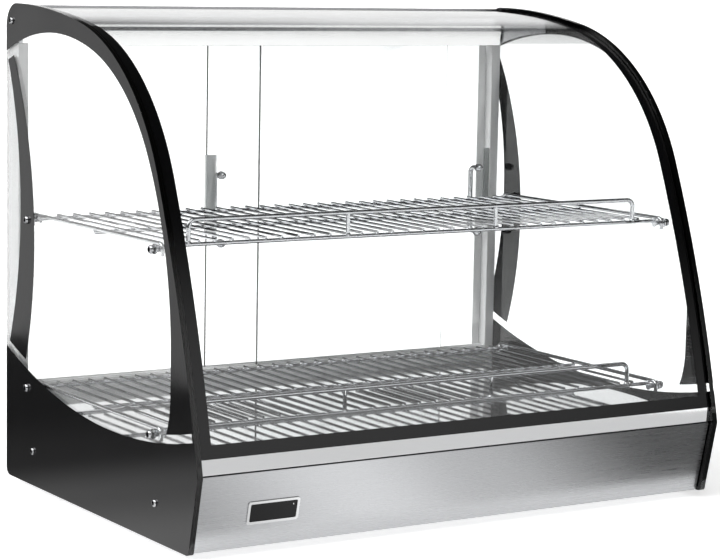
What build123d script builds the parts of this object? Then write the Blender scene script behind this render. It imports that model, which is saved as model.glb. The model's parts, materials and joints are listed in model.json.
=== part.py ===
from build123d import *
import math
import os

# Heated countertop display case.  Millimetres, +X to the right, +Y to the back, +Z up.
# The origin is on the resting plane, below the middle of the case's overall box.

# ---------------------------------------------------------------- driving dimensions
WIDTH = 660.0            # over the two side glasses
PANE_DEPTH = 457.0       # side glass, nose to rear edge
HEIGHT = 541.0           # resting plane to the top of the side glasses
FOOT_HEIGHT = 8.0

PANE_THICKNESS = 6.0
PRINT_THICKNESS = 0.4    # fired enamel on the outside of the glass
FRONT_GLASS_THICKNESS = 5.0
FRONT_GLASS_INSET = 4.0  # front glass lies this far inside the side glass outline
SHEET = 1.2              # stainless sheet of the base and hood
FIT = 0.3                # general clearance between neighbouring pieces

# side glass outline: three tangent arcs from the top to the nose
TOP_RADIUS = 780.0
SHOULDER_RADIUS = 250.0
FRONT_RADIUS = 1547.0
TOP_FLAT = 29.0          # straight run behind the top arc
NOSE_HEIGHT = 89.0
NOSE_LEAN = 11.6         # degrees from upright at the nose
CHIN_SETBACK = 18.0      # bottom front corner behind the nose
REAR_TOP_RADIUS = 26.0
REAR_FOOT_RADIUS = 9.0
CHIN_RADIUS = 4.0

# clear window in the print: three tangent arcs again
WINDOW_TOP_RADIUS = 326.5
WINDOW_SHOULDER_RADIUS = 228.0
WINDOW_FRONT_RADIUS = 386.0
WINDOW_TOP_DROP = 29.5       # below the top of the glass
WINDOW_TOP_FORWARD = 121.5   # highest point, ahead of the rear edge
WINDOW_FRONT_BACK = 58.0     # foremost point, behind the nose
WINDOW_FRONT_HEIGHT = 201.0
FOOT_FLARE_HEIGHT = 160.0    # below this the foot of the band widens
FOOT_FLARE = 13.0

LOW_PRINT_RADIUS = 762.0     # hollow upper edge of the lower print
LOW_PRINT_BOTTOM = 104.1     # height of its lowest point
LOW_PRINT_FORWARD = 277.0    # lowest point, ahead of the rear edge
PRINT_GAP = 9.0              # clear line between two printed areas
STRUT_FRONT_RADIUS = 407.4
STRUT_FRONT_FORWARD = 74.3
STRUT_FRONT_HEIGHT = 280.4
STRUT_REAR_RADIUS = 415.6
STRUT_REAR_FORWARD = 38.1
STRUT_REAR_HEIGHT = 315.5
STRUT_TOP_GAP = 11.0

# front glass print
SIDE_MARGIN = 13.0
BOTTOM_MARGIN = 13.0

# base
DECK_HEIGHT = 100.2      # upper face of the deck
PANEL_RECESS = 6.0       # front panels behind the edge of the side glass
SEAM = 1.6               # dark joint between the two front panels
STRIP_HEIGHT = 17.0      # upper front strip above the nose line

# doors, measured forward from the rear edge of the side glass
DOOR_WIDTH = 336.0
DOOR_THICKNESS = 4.0
INNER_DOOR_FORWARD = 18.5
OUTER_DOOR_FORWARD = 6.5
DOOR_EDGE_GAP = 10.0     # closed door edge to the outside of the case
DOOR_OPENED = 240.0      # the left door stands open by this much
TRACK_SLOT = 6.4
TRACK_DEPTH = 25.0
TRACK_FLOOR = 3.0
LOWER_TRACK_HEIGHT = 14.0
UPPER_TRACK_HEIGHT = 15.0
POST_WIDTH = 12.0
POST_WALL = 1.5
POST_PROUD = 5.0         # posts stand behind the side glass
HANDLE_SPAN = 81.0
HANDLE_HEIGHT = 300.5
HANDLE_ROD = 6.4
HANDLE_STANDOFF = 16.0
HANDLE_INSET = 20.0
HANDLE_STUD = 5.0
GUARD_LENGTH = 95.0
GUARD_LAP = 12.0
GUARD_WALL = 1.2
GUARD_BOTTOM = 271.0

# hood
HOOD_INSET = 2.0
HOOD_FRONT_FORWARD = 40.5
HOOD_SKIRT_FORWARD = 28.5
HOOD_LIP = 5.0
HOOD_BOTTOM_DROP = 44.0  # skirt's lower edge below the top of the case
END_PLATE_EDGE = 1.5     # hood end plates stop this far behind the edge of the print

# racks
RACK_STUD_FRONT_BACK = 101.5     # front studs behind the nose
RACK_STUD_REAR_FORWARD = 56.5    # rear studs ahead of the rear edge
RACK_HEIGHTS = {"upper": 304.0, "lower": 116.0}
STUD_RADIUS = 3.0
STUD_LENGTH = 14.0
STUD_FLANGE_RADIUS = 5.5
STUD_FLANGE = 1.5
RAIL_WIRE = 4.4
CROSS_WIRE = 4.4
GRID_WIRE = 3.0
GRID_PITCH = 19.5
GUARD_RAIL_WIRE = 5.0
GUARD_RAIL_RISE = 29.0           # top of the guard rail above the studs
GUARD_RAIL_INSET = 45.0          # end posts from the outside of the case
WELD = 0.2                       # wires sink into each other at the welds
HOOK_DROP = 7.0

# controls
CONTROLLER_WIDTH = 60.0
CONTROLLER_HEIGHT = 25.0
CONTROLLER_FROM_LEFT = 95.2
CONTROLLER_CENTRE_HEIGHT = 45.0
ROCKER_TILT = 9.0
SWITCH_HEIGHT = 54.0
POWER_SWITCH_X = 270.0
LAMP_SWITCH_X = 225.0
THERMOSTAT_X = 165.0
GLAND_X = -270.0
KNOB_GAP = 3.2           # knob off the rear panel
SHAFT_IN_KNOB = 8.0

SCREW_RADIUS = 2.4
SCREW_HOLE_RADIUS = 2.7
SCREW_HEAD_RADIUS = 4.0
SCREW_HEAD = 2.5

# ---------------------------------------------------------------- derived places
HANDLE_PROUD = HANDLE_STANDOFF + HANDLE_ROD / 2 + DOOR_THICKNESS / 2 - OUTER_DOOR_FORWARD
DEPTH = PANE_DEPTH + HANDLE_PROUD
FRONT = -DEPTH / 2
REAR = FRONT + PANE_DEPTH
OUTSIDE = WIDTH / 2
PANE_OUT = OUTSIDE - PRINT_THICKNESS
PANE_IN = PANE_OUT - PANE_THICKNESS
WALL_IN = PANE_IN - SHEET
NOSE = (FRONT, NOSE_HEIGHT)
CHIN = (FRONT + CHIN_SETBACK, FOOT_HEIGHT)
FLOOR_TOP = FOOT_HEIGHT + SHEET
DECK_UNDER = DECK_HEIGHT - SHEET
HOOD_BOTTOM = HEIGHT - HOOD_BOTTOM_DROP
HOOD_HALF = PANE_IN - 0.2
TRACK_TOP = HOOD_BOTTOM + UPPER_TRACK_HEIGHT
TRACK_FRONT = REAR - TRACK_DEPTH
POST_FRONT = TRACK_FRONT - FIT - POST_WALL
INNER_DOOR_Y = REAR - INNER_DOOR_FORWARD
OUTER_DOOR_Y = REAR - OUTER_DOOR_FORWARD
STUD_YS = (FRONT + RACK_STUD_FRONT_BACK, REAR - RACK_STUD_REAR_FORWARD)
RAIL_RISE = STUD_RADIUS + FIT + RAIL_WIRE / 2
RAIL_X = PANE_IN - STUD_LENGTH / 2
LEDGE_TOP = NOSE_HEIGHT + STRIP_HEIGHT
SEAM_FACE = FRONT + PANEL_RECESS
WEDGE_SCREW = (REAR - 14.7, HEIGHT - 19.5)
BASE_SCREWS = ((REAR - 72.1, 46.9), (FRONT + 89.3, 47.7))
PANEL_OUT_Y = REAR - HOOD_INSET
ROCKER_PIVOT_Y = PANEL_OUT_Y - 1.0
KNOB_Y = PANEL_OUT_Y + KNOB_GAP
SHAFT_BACK = PANEL_OUT_Y - SHEET - 11.5


# ---------------------------------------------------------------- small helpers
def polar(centre, radius, degrees):
    """Point on a circle in the upright fore-and-aft plane."""
    angle = math.radians(degrees)
    return (centre[0] + radius * math.cos(angle), centre[1] + radius * math.sin(angle))


def bearing(centre, point):
    """Direction of a point from a centre, in degrees."""
    return math.degrees(math.atan2(point[1] - centre[1], point[0] - centre[0]))


def arc(centre, radius, start, end):
    """Arc between two bearings."""
    middle = (start + end) / 2
    return ThreePointArc(*(polar(centre, radius, degrees) for degrees in (start, middle, end)))


class ArchCurve:
    """Three tangent arcs from a level top point round a shoulder to a front point."""

    def __init__(self, top, radii, front, lean):
        self.radii = radii
        top_radius, shoulder_radius, front_radius = radii
        self.top_centre = (top[0], top[1] - top_radius)
        self.front_centre = polar(front, front_radius, -lean)
        self.shoulder_centre = self.meet(top_radius - shoulder_radius, front_radius - shoulder_radius)
        self.bearings = (90.0, bearing(self.top_centre, self.shoulder_centre),
                         bearing(self.front_centre, self.shoulder_centre), 180.0 - lean)

    def meet(self, from_top, from_front):
        """Shoulder centre at given distances from the other two centres."""
        ax, ay = self.top_centre
        bx, by = self.front_centre
        span = math.dist(self.top_centre, self.front_centre)
        along = (from_top ** 2 - from_front ** 2 + span ** 2) / (2 * span)
        aside = math.sqrt(from_top ** 2 - along ** 2)
        ux, uy = (bx - ax) / span, (by - ay) / span
        return (ax + along * ux - aside * uy, ay + along * uy + aside * ux)

    def edges(self, inset=0.0):
        """The three arcs, moved inwards by an inset."""
        top_radius, shoulder_radius, front_radius = (radius - inset for radius in self.radii)
        start, first, second, end = self.bearings
        return [arc(self.top_centre, top_radius, start, first),
                arc(self.shoulder_centre, shoulder_radius, first, second),
                arc(self.front_centre, front_radius, second, end)]

    def point(self, inset, end):
        """First or last point of the inset curve."""
        if end == "top":
            return polar(self.top_centre, self.radii[0] - inset, self.bearings[0])
        return polar(self.front_centre, self.radii[2] - inset, self.bearings[3])


def closed(edges, *corners):
    """Face from a run of joined edges, closed through the given corners."""
    points = [edges[-1] @ 1, *corners, edges[0] @ 0]
    return make_face(Wire(list(edges) + [Line(a, b) for a, b in zip(points, points[1:])]))


def slab(sketch, x_low, x_high):
    """Fore-and-aft sketch extruded across the case."""
    return extrude(Plane.YZ.offset(x_low) * sketch, x_high - x_low)


def mirrored(shape):
    """Copy on the other side of the case."""
    return mirror(shape, about=Plane.YZ)


def box(x_low, x_high, y_low, y_high, z_low, z_high):
    """Box between two corners."""
    size = (x_high - x_low, y_high - y_low, z_high - z_low)
    middle = ((x_high + x_low) / 2, (y_high + y_low) / 2, (z_high + z_low) / 2)
    return Pos(*middle) * Box(*size)


def rod(start, end, radius):
    """Round bar between two points."""
    start, end = Vector(*start), Vector(*end)
    return extrude(Plane(origin=start, z_dir=end - start) * Circle(radius), (end - start).length)


def polygon(*points):
    """Face through the given points."""
    return make_face(Polyline(*points, close=True))


def folded(points, thickness):
    """Folded sheet section: an open run of points, thickened to its left."""
    normals = []
    for (ax, ay), (bx, by) in zip(points, points[1:]):
        length = math.dist((ax, ay), (bx, by))
        normals.append((-(by - ay) / length, (bx - ax) / length))
    inner = []
    for index, (px, py) in enumerate(points):
        before = normals[max(index - 1, 0)]
        after = normals[min(index, len(normals) - 1)]
        scale = thickness / (1 + before[0] * after[0] + before[1] * after[1])
        inner.append((px + (before[0] + after[0]) * scale, py + (before[1] + after[1]) * scale))
    return polygon(*points, *reversed(inner))


def tube_path(points, radii, wire):
    """Bent wire along straight runs joined by arcs."""
    path = FilletPolyline(*points, radius=radii)
    return sweep(Plane(origin=path @ 0, z_dir=path % 0) * Circle(wire / 2), path=path)


# ---------------------------------------------------------------- side glasses
OUTLINE = ArchCurve((REAR - TOP_FLAT, HEIGHT), (TOP_RADIUS, SHOULDER_RADIUS, FRONT_RADIUS), NOSE, NOSE_LEAN)
WINDOW = ArchCurve((REAR - WINDOW_TOP_FORWARD, HEIGHT - WINDOW_TOP_DROP),
                   (WINDOW_TOP_RADIUS, WINDOW_SHOULDER_RADIUS, WINDOW_FRONT_RADIUS),
                   (FRONT + WINDOW_FRONT_BACK, WINDOW_FRONT_HEIGHT), 0.0)


def corner_near(sketch, point):
    """The sketch corner nearest a point."""
    return sketch.vertices().sort_by_distance(Vector(*point))[0]


def pane_outline():
    """Outline of a side glass."""
    face = closed(OUTLINE.edges(), CHIN, (REAR, FOOT_HEIGHT), (REAR, HEIGHT))
    for point, radius in (((REAR, HEIGHT), REAR_TOP_RADIUS), ((REAR, FOOT_HEIGHT), REAR_FOOT_RADIUS),
                          (CHIN, CHIN_RADIUS)):
        face = fillet(corner_near(face, point), radius)
    return face


def low_circle(gap):
    """Circle whose underside bounds the lower print, or runs a gap above it."""
    centre = (REAR - LOW_PRINT_FORWARD, LOW_PRINT_BOTTOM + LOW_PRINT_RADIUS)
    return Pos(*centre) * Circle(LOW_PRINT_RADIUS - gap)


def clear_window():
    """Clear area between the printed arch and the lower print."""
    past_rear = REAR + 5.0
    centre = WINDOW.top_centre
    tail_bearing = math.degrees(math.acos((past_rear - centre[0]) / WINDOW_TOP_RADIUS))
    foot = WINDOW.point(0.0, "front")
    flare_top = (foot[0], FOOT_FLARE_HEIGHT)
    flare_end = (foot[0] + FOOT_FLARE, LOW_PRINT_BOTTOM + PRINT_GAP)
    flare_middle = (foot[0] + FOOT_FLARE * 0.25, (flare_top[1] + flare_end[1]) / 2)
    edges = [arc(centre, WINDOW_TOP_RADIUS, tail_bearing, 90.0), *WINDOW.edges(),
             Line(foot, flare_top), ThreePointArc(flare_top, flare_middle, flare_end)]
    return closed(edges, (flare_end[0], FOOT_HEIGHT), (past_rear, FOOT_HEIGHT))


def strut_area():
    """Crescent printed up the rear of the glass."""
    front_centre = (REAR - STRUT_FRONT_FORWARD + STRUT_FRONT_RADIUS, STRUT_FRONT_HEIGHT)
    rear_centre = (REAR - STRUT_REAR_FORWARD + STRUT_REAR_RADIUS, STRUT_REAR_HEIGHT)
    crescent = Pos(*front_centre) * Circle(STRUT_FRONT_RADIUS)
    crescent -= Pos(*rear_centre) * Circle(STRUT_REAR_RADIUS)
    top_limit = Pos(*WINDOW.top_centre) * Circle(WINDOW_TOP_RADIUS - STRUT_TOP_GAP)
    return pane_outline() & crescent & low_circle(PRINT_GAP) & top_limit


def side_holes(radius):
    """All fastener holes of a side glass, as disks."""
    spots = [WEDGE_SCREW, *BASE_SCREWS]
    spots += [(y, z) for y in STUD_YS for z in RACK_HEIGHTS.values()]
    return [Pos(*spot) * Circle(radius) for spot in spots]


def side_glass():
    """Clear toughened pane on the left."""
    return slab(pane_outline() - side_holes(SCREW_HOLE_RADIUS), -PANE_OUT, -PANE_IN)


def side_print():
    """Three printed areas on the outside of the left pane."""
    band = (pane_outline() & low_circle(PRINT_GAP)) - clear_window()
    lower = pane_outline() - low_circle(0.0)
    lower = lower.faces().sort_by(SortBy.AREA)[-1]
    areas = Sketch() + [band, strut_area(), lower]
    return slab(areas - side_holes(SCREW_HOLE_RADIUS), -OUTSIDE, -PANE_OUT)


# ---------------------------------------------------------------- front glass
GLASS_HALF = PANE_IN - 1.0


def glass_ring(inset, thickness, low, high):
    """Curved sheet section inside the outline, between two heights."""
    outer, inner = OUTLINE.edges(inset), OUTLINE.edges(inset + thickness)
    back = [Line(outer[0] @ 0, inner[0] @ 0), Line(outer[-1] @ 1, inner[-1] @ 1)]
    ring = make_face(Wire([*outer, *inner, *back]))
    return ring & Pos((FRONT + REAR) / 2, (low + high) / 2) * Rectangle(PANE_DEPTH, high - low)


def front_glass():
    """Curved front and top pane."""
    ring = glass_ring(FRONT_GLASS_INSET, FRONT_GLASS_THICKNESS, LEDGE_TOP + FIT, HEIGHT)
    return slab(ring, -GLASS_HALF, GLASS_HALF)


def front_border():
    """Black print round the sides and foot of the front glass."""
    skin = FRONT_GLASS_INSET - PRINT_THICKNESS
    side = glass_ring(skin, PRINT_THICKNESS, LEDGE_TOP + FIT, HEIGHT)
    foot = glass_ring(skin, PRINT_THICKNESS, LEDGE_TOP + FIT, LEDGE_TOP + FIT + BOTTOM_MARGIN)
    left = slab(side, -GLASS_HALF, -GLASS_HALF + SIDE_MARGIN)
    return left + mirrored(left) + slab(foot, -GLASS_HALF, GLASS_HALF)


def side_seal():
    """Silicone bead between the front glass and the left pane."""
    ring = glass_ring(FRONT_GLASS_INSET + 0.5, FRONT_GLASS_THICKNESS - 1.0, LEDGE_TOP + FIT, HEIGHT)
    return slab(ring, -PANE_IN, -GLASS_HALF)


# ---------------------------------------------------------------- base
def inside_front(height, recess):
    """Depth of the front line at a height below the nose."""
    share = (NOSE_HEIGHT - height) / (NOSE_HEIGHT - FOOT_HEIGHT)
    return FRONT + recess + CHIN_SETBACK * share


def chassis():
    """Folded base pan: floor and two side walls."""
    clearance = PANEL_RECESS + SHEET + 0.8
    shelf, step = NOSE_HEIGHT - 3.0, FRONT + 24.0
    back = PANEL_OUT_Y - SHEET
    wall = polygon((inside_front(FOOT_HEIGHT, clearance), FOOT_HEIGHT),
                   (inside_front(NOSE_HEIGHT, clearance), shelf), (step, shelf),
                   (step, DECK_UNDER), (back, DECK_UNDER), (back, FOOT_HEIGHT))
    holes = [Pos(*spot) * Circle(SCREW_HOLE_RADIUS) for spot in BASE_SCREWS]
    left = slab(wall - holes, -PANE_IN, -WALL_IN)
    floor_front = inside_front(FOOT_HEIGHT, clearance)
    floor = box(-WALL_IN, WALL_IN, floor_front, PANEL_OUT_Y, FOOT_HEIGHT, FLOOR_TOP)
    foot_holes = [Pos(x, y, FOOT_HEIGHT) * Cylinder(2.2, 10) for x, y in foot_places()]
    return left + mirrored(left) + floor - foot_holes


def foot_places():
    """Where the four feet stand."""
    return [(side * (OUTSIDE - 80.0), y) for side in (-1, 1) for y in (FRONT + 80.0, REAR - 60.0)]


def rubber_feet():
    """Four turned rubber feet."""
    section = polygon((3.6, 0), (14, 0), (15.5, 1.5), (13, FOOT_HEIGHT),
                      (2.2, FOOT_HEIGHT), (2.2, 4.5), (3.6, 4.5))
    foot = revolve(Plane.XZ * section, Axis.Z)
    return Compound([Pos(x, y, 0) * foot for x, y in foot_places()])


def foot_screws():
    """Four pan-head screws that hold the feet."""
    screw = Pos(0, 0, 2.9) * Cylinder(3.4, 3.2) + Pos(0, 0, 9.0) * Cylinder(2.0, 9.6)
    return Compound([Pos(x, y, 0) * screw for x, y in foot_places()])


def foot_nuts():
    """Four nuts inside the base."""
    nut = extrude(RegularPolygon(3.9, 6) - Circle(2.2), 3.2)
    return Compound([Pos(x, y, FLOOR_TOP) * nut for x, y in foot_places()])


def controller_plane():
    """Plane on the outer face of the lower front panel, centred on the controller."""
    y = inside_front(CONTROLLER_CENTRE_HEIGHT, PANEL_RECESS)
    slope = math.atan2(CHIN_SETBACK, NOSE_HEIGHT - FOOT_HEIGHT)
    normal = (0, -math.cos(slope), -math.sin(slope))
    middle = (-OUTSIDE + CONTROLLER_FROM_LEFT, y, CONTROLLER_CENTRE_HEIGHT)
    return Plane(origin=middle, x_dir=(1, 0, 0), z_dir=normal)


def lower_front_panel():
    """Brushed panel that slopes back under the seam."""
    top = NOSE_HEIGHT - SEAM / 2
    low = FLOOR_TOP + 0.2
    foot_y, top_y = inside_front(low, PANEL_RECESS), inside_front(top, PANEL_RECESS)
    section = folded([(foot_y + 16.0, low), (foot_y, low), (top_y, top), (top_y + 10.0, top)], -SHEET)
    opening = RectangleRounded(CONTROLLER_WIDTH - 3, CONTROLLER_HEIGHT - 3, 2.0)
    return slab(section, -WALL_IN, WALL_IN) - extrude(controller_plane() * opening, 5.0, both=True)


def upper_front_strip():
    """Polished strip above the seam, with the ledge that carries the front glass."""
    low = NOSE_HEIGHT + SEAM / 2
    section = folded([(SEAM_FACE + 12.0, low), (SEAM_FACE, low), (SEAM_FACE + 1.1, LEDGE_TOP),
                      (SEAM_FACE + 15.0, LEDGE_TOP), (SEAM_FACE + 15.0, DECK_UNDER - 6.0)], -SHEET)
    return slab(section, -PANE_IN, PANE_IN)


def seam_gasket():
    """Dark strip that closes the joint between the two front panels."""
    low, high = NOSE_HEIGHT - SEAM / 2, NOSE_HEIGHT + SEAM / 2
    return box(-WALL_IN, WALL_IN, SEAM_FACE + 1.5, SEAM_FACE + 9.5, low, high)


def glass_foot_seal():
    """Rubber seal behind the foot of the front glass, on the ledge."""
    front = OUTLINE.point(FRONT_GLASS_INSET + FRONT_GLASS_THICKNESS, "front")[0] + 5.2
    section = polygon((front, LEDGE_TOP), (front + 4.5, LEDGE_TOP), (front + 4.5, LEDGE_TOP + 1.5),
                      (front + 2.4, LEDGE_TOP + 5.5))
    return slab(section, -GLASS_HALF, GLASS_HALF)


def deck():
    """Bright deck with turned-down edges."""
    front, back = SEAM_FACE + 15.0, PANEL_OUT_Y
    plate = box(-PANE_IN + 0.2, PANE_IN - 0.2, front, back, DECK_UNDER, DECK_HEIGHT)
    flange = box(-WALL_IN + FIT, -WALL_IN + FIT + SHEET, front + 12, back - 14, DECK_UNDER - 14, DECK_UNDER)
    return plate + flange + mirrored(flange)


HEATER_Z = DECK_UNDER - 9.0
HEATER_HALF = 250.0
HEATER_YS = [FRONT + 90.0 + 70.0 * run for run in range(5)]


def heating_element():
    """Tubular element bent in five runs under the deck."""
    points = []
    for index, y in enumerate(HEATER_YS):
        side = 1 if index % 2 == 0 else -1
        points += [(side * HEATER_HALF, y, HEATER_Z), (-side * HEATER_HALF, y, HEATER_Z)]
    points[0] = (points[0][0] + 30.0, points[0][1], points[0][2])
    points[-1] = (points[-1][0] - 30.0, points[-1][1], points[-1][2])
    return tube_path(points, 30.0, 8.0)


def heater_clips():
    """Saddles that hang the element from the deck."""
    clip = box(-5, 5, -7, 7, HEATER_Z - 5.5, DECK_UNDER)
    clip -= Pos(0, 0, HEATER_Z) * Rot(0, 90, 0) * Cylinder(4.1, 20)
    return Compound([Pos(x, y, 0) * clip for x in (-150, 150) for y in HEATER_YS])


# ---------------------------------------------------------------- rear panel and controls
def rear_panel():
    """Lower rear panel with openings for the controls and vents."""
    panel = box(-WALL_IN + FIT, WALL_IN - FIT, PANEL_OUT_Y - SHEET, PANEL_OUT_Y, FLOOR_TOP, DECK_UNDER)
    across = Plane(origin=(0, PANEL_OUT_Y, 0), x_dir=(-1, 0, 0), z_dir=(0, 1, 0))
    cuts = [Pos(-x, SWITCH_HEIGHT) * Rectangle(19.4, 25.4) for x in (POWER_SWITCH_X, LAMP_SWITCH_X)]
    cuts.append(Pos(-THERMOSTAT_X, SWITCH_HEIGHT) * Circle(5.2))
    cuts.append(Pos(-GLAND_X, SWITCH_HEIGHT) * Circle(8.2))
    for column in range(2):
        for row in range(6):
            cuts.append(Pos(40 + 70 * column, 34 + 8 * row) * SlotOverall(50, 3.5))
    return panel - extrude(across * (Sketch() + cuts), 5, both=True)


def switch_housing(x):
    """Snap-in frame and body of a rocker switch."""
    y, z = ROCKER_PIVOT_Y, SWITCH_HEIGHT
    flange = box(x - 11, x + 11, PANEL_OUT_Y, PANEL_OUT_Y + 2, z - 14.5, z + 14.5)
    body = box(x - 9.4, x + 9.4, y - 18, PANEL_OUT_Y, z - 12.4, z + 12.4)
    cavity = box(x - 7.3, x + 7.3, y - 8, PANEL_OUT_Y + 2, z - 10.3, z + 10.3)
    pivot = Pos(x, y, z) * Rot(0, 90, 0) * Cylinder(1.55, 18)
    return fillet(flange.edges().filter_by(Axis.Y), 2) + body - cavity - pivot


def rocker(x):
    """Rocker with its two pivot pins, tipped to off."""
    section = polygon((-4, -4), (1.5, -9.2), (5.5, -9.2), (3.8, 0), (5.5, 9.2), (1.5, 9.2), (-4, 4))
    body = slab(section, -7.0, 7.0)
    pin = Rot(0, 90, 0) * Cylinder(1.5, 17)
    return Pos(x, ROCKER_PIVOT_Y, SWITCH_HEIGHT) * Rot(ROCKER_TILT, 0, 0) * (body + pin)


def turned_y(y, *steps):
    """Stepped round piece along +Y: (length, radius) steps from a starting depth."""
    pieces = []
    for length, radius in steps:
        pieces.append(Pos(0, y + length / 2, 0) * Rot(90, 0, 0) * Cylinder(radius, length))
        y += length
    return pieces[0] + pieces[1:]


def thermostat_body():
    """Thermostat behind the rear panel, with its threaded bush."""
    back = PANEL_OUT_Y - SHEET
    block = box(-20, 20, back - 30, back, -17, 17)
    bush = turned_y(back, (SHEET + 3.0, 5.0))
    bore = turned_y(back - 12, (20.0, 3.05))
    return Pos(THERMOSTAT_X, 0, SWITCH_HEIGHT) * (block + bush - bore)


def thermostat_shaft():
    """Control shaft that carries the knob."""
    length = KNOB_Y + SHAFT_IN_KNOB - SHAFT_BACK
    return Pos(THERMOSTAT_X, 0, SWITCH_HEIGHT) * turned_y(SHAFT_BACK, (length, 3.0))


def thermostat_knob():
    """Moulded knob with a raised grip and a pointer groove."""
    skirt = turned_y(KNOB_Y, (3.5, 18.0), (6.0, 14.5))
    grip = box(-4.0, 4.0, KNOB_Y + 9, KNOB_Y + 12.5, -14, 14)
    pointer = box(-0.8, 0.8, KNOB_Y + 11.7, KNOB_Y + 13, 3, 15)
    bore = turned_y(KNOB_Y - 1, (SHAFT_IN_KNOB + 1.0, 3.0))
    hollow = turned_y(KNOB_Y - 1, (3.0, 12.0))
    return Pos(THERMOSTAT_X, 0, SWITCH_HEIGHT) * (skirt + grip - pointer - bore - hollow)


def dial_plate():
    """Thin scale ring behind the knob."""
    plate = turned_y(PANEL_OUT_Y, (0.8, 26.0)) - turned_y(PANEL_OUT_Y - 1, (3, 5.2))
    return Pos(THERMOSTAT_X, 0, SWITCH_HEIGHT) * plate


def cord_gland():
    """Inlet gland with its open bore."""
    back = PANEL_OUT_Y - SHEET
    outside = turned_y(back - 12, (12.0 + SHEET, 8.0), (3.0, 11.0), (8.0, 7.0))
    bore = turned_y(back - 13, (30, 4.0))
    return Pos(GLAND_X, 0, SWITCH_HEIGHT) * (outside - bore)


def gland_nut():
    """Locknut behind the panel."""
    back = Plane(origin=(0, PANEL_OUT_Y - SHEET, 0), z_dir=(0, -1, 0))
    ring = extrude(back * (RegularPolygon(12, 6) - Circle(8.0)), 4)
    return Pos(GLAND_X, 0, SWITCH_HEIGHT) * ring


def terminal_block():
    """Three-pole terminal block on the floor."""
    block = box(GLAND_X + 30, GLAND_X + 62, REAR - 70, REAR - 50, FLOOR_TOP, FLOOR_TOP + 16)
    first, top = GLAND_X + 36, FLOOR_TOP + 14
    holes = [Pos(first + 10 * pole, REAR - 60, top) * Cylinder(2.5, 8) for pole in range(3)]
    return block - holes


def controller_bezel():
    """Frame round the display window."""
    lip = RectangleRounded(CONTROLLER_WIDTH, CONTROLLER_HEIGHT, 3.0)
    neck = RectangleRounded(CONTROLLER_WIDTH - 3.6, CONTROLLER_HEIGHT - 3.6, 1.8)
    hole = RectangleRounded(CONTROLLER_WIDTH - 6.0, CONTROLLER_HEIGHT - 6.0, 1.5)
    plane = controller_plane()
    return extrude(plane * lip, 1.2) + extrude(plane * neck, -6.0) - extrude(plane * hole, 8.0, both=True)


def display_window():
    """Dark window of the temperature display."""
    pane = RectangleRounded(CONTROLLER_WIDTH - 6.4, CONTROLLER_HEIGHT - 6.4, 1.4)
    return extrude(controller_plane().offset(-1.8) * pane, 2.4)


def controller_body():
    """Electronics case behind the window."""
    plane = controller_plane().offset(-6.0)
    case = RectangleRounded(CONTROLLER_WIDTH - 3.6, CONTROLLER_HEIGHT - 3.6, 1.8)
    nose = RectangleRounded(CONTROLLER_WIDTH - 6.4, CONTROLLER_HEIGHT - 6.4, 1.4)
    return extrude(plane * case, -38.0) + extrude(plane * nose, 4.2)


# ---------------------------------------------------------------- rear frame
def rear_post():
    """Left upright channel that frames the doors."""
    front, back = POST_FRONT, REAR + POST_PROUD
    high = HOOD_BOTTOM
    outer = box(-HOOD_HALF, -HOOD_HALF + POST_WIDTH, front, back, DECK_HEIGHT, high)
    inner = box(-HOOD_HALF + POST_WALL, 0, front + POST_WALL, back - POST_WALL, 0, HEIGHT)
    return outer - inner


def track(base, slots_up, height, half_length):
    """Double door track: a floor strip with three guide rails standing on it."""
    way = 1 if slots_up else -1
    seat, lip = base + way * TRACK_FLOOR, base + way * height
    floor, rim = sorted((base, seat)), sorted((seat, lip))
    slot_edges = [y + side * TRACK_SLOT / 2 for y in (INNER_DOOR_Y, OUTER_DOOR_Y) for side in (-1, 1)]
    edges = [TRACK_FRONT, *slot_edges, REAR]
    strips = [box(-half_length, half_length, TRACK_FRONT, REAR, *floor)]
    for front, back in zip(edges[::2], edges[1::2]):
        strips.append(box(-half_length, half_length, front, back, *rim))
    return Compound(strips)


def lower_track():
    """Double track on the deck."""
    return track(DECK_HEIGHT, True, LOWER_TRACK_HEIGHT, HOOD_HALF - POST_WALL - FIT)


def upper_track():
    """Double track under the hood."""
    return track(TRACK_TOP, False, UPPER_TRACK_HEIGHT, HOOD_HALF)


HOOD_SEAT = HEIGHT - FRONT_GLASS_INSET - FRONT_GLASS_THICKNESS - 0.2
SKIRT_TOP = (REAR - HOOD_SKIRT_FORWARD - 4.0, HOOD_BOTTOM + 21.0)
SKIRT_FOOT = (REAR - HOOD_SKIRT_FORWARD, HOOD_BOTTOM)


def on_skirt(down, out):
    """Point on the sloping front of the hood: distance down it and out of it."""
    length = math.dist(SKIRT_TOP, SKIRT_FOOT)
    dy, dz = (SKIRT_FOOT[0] - SKIRT_TOP[0]) / length, (SKIRT_FOOT[1] - SKIRT_TOP[1]) / length
    return (SKIRT_TOP[0] + dy * down + dz * out, SKIRT_TOP[1] + dz * down - dy * out)


def skirt_patch(down_low, down_high, out_low, out_high):
    """Four-sided section on the sloping front of the hood."""
    return polygon(on_skirt(down_low, out_low), on_skirt(down_high, out_low),
                   on_skirt(down_high, out_high), on_skirt(down_low, out_high))


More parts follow.
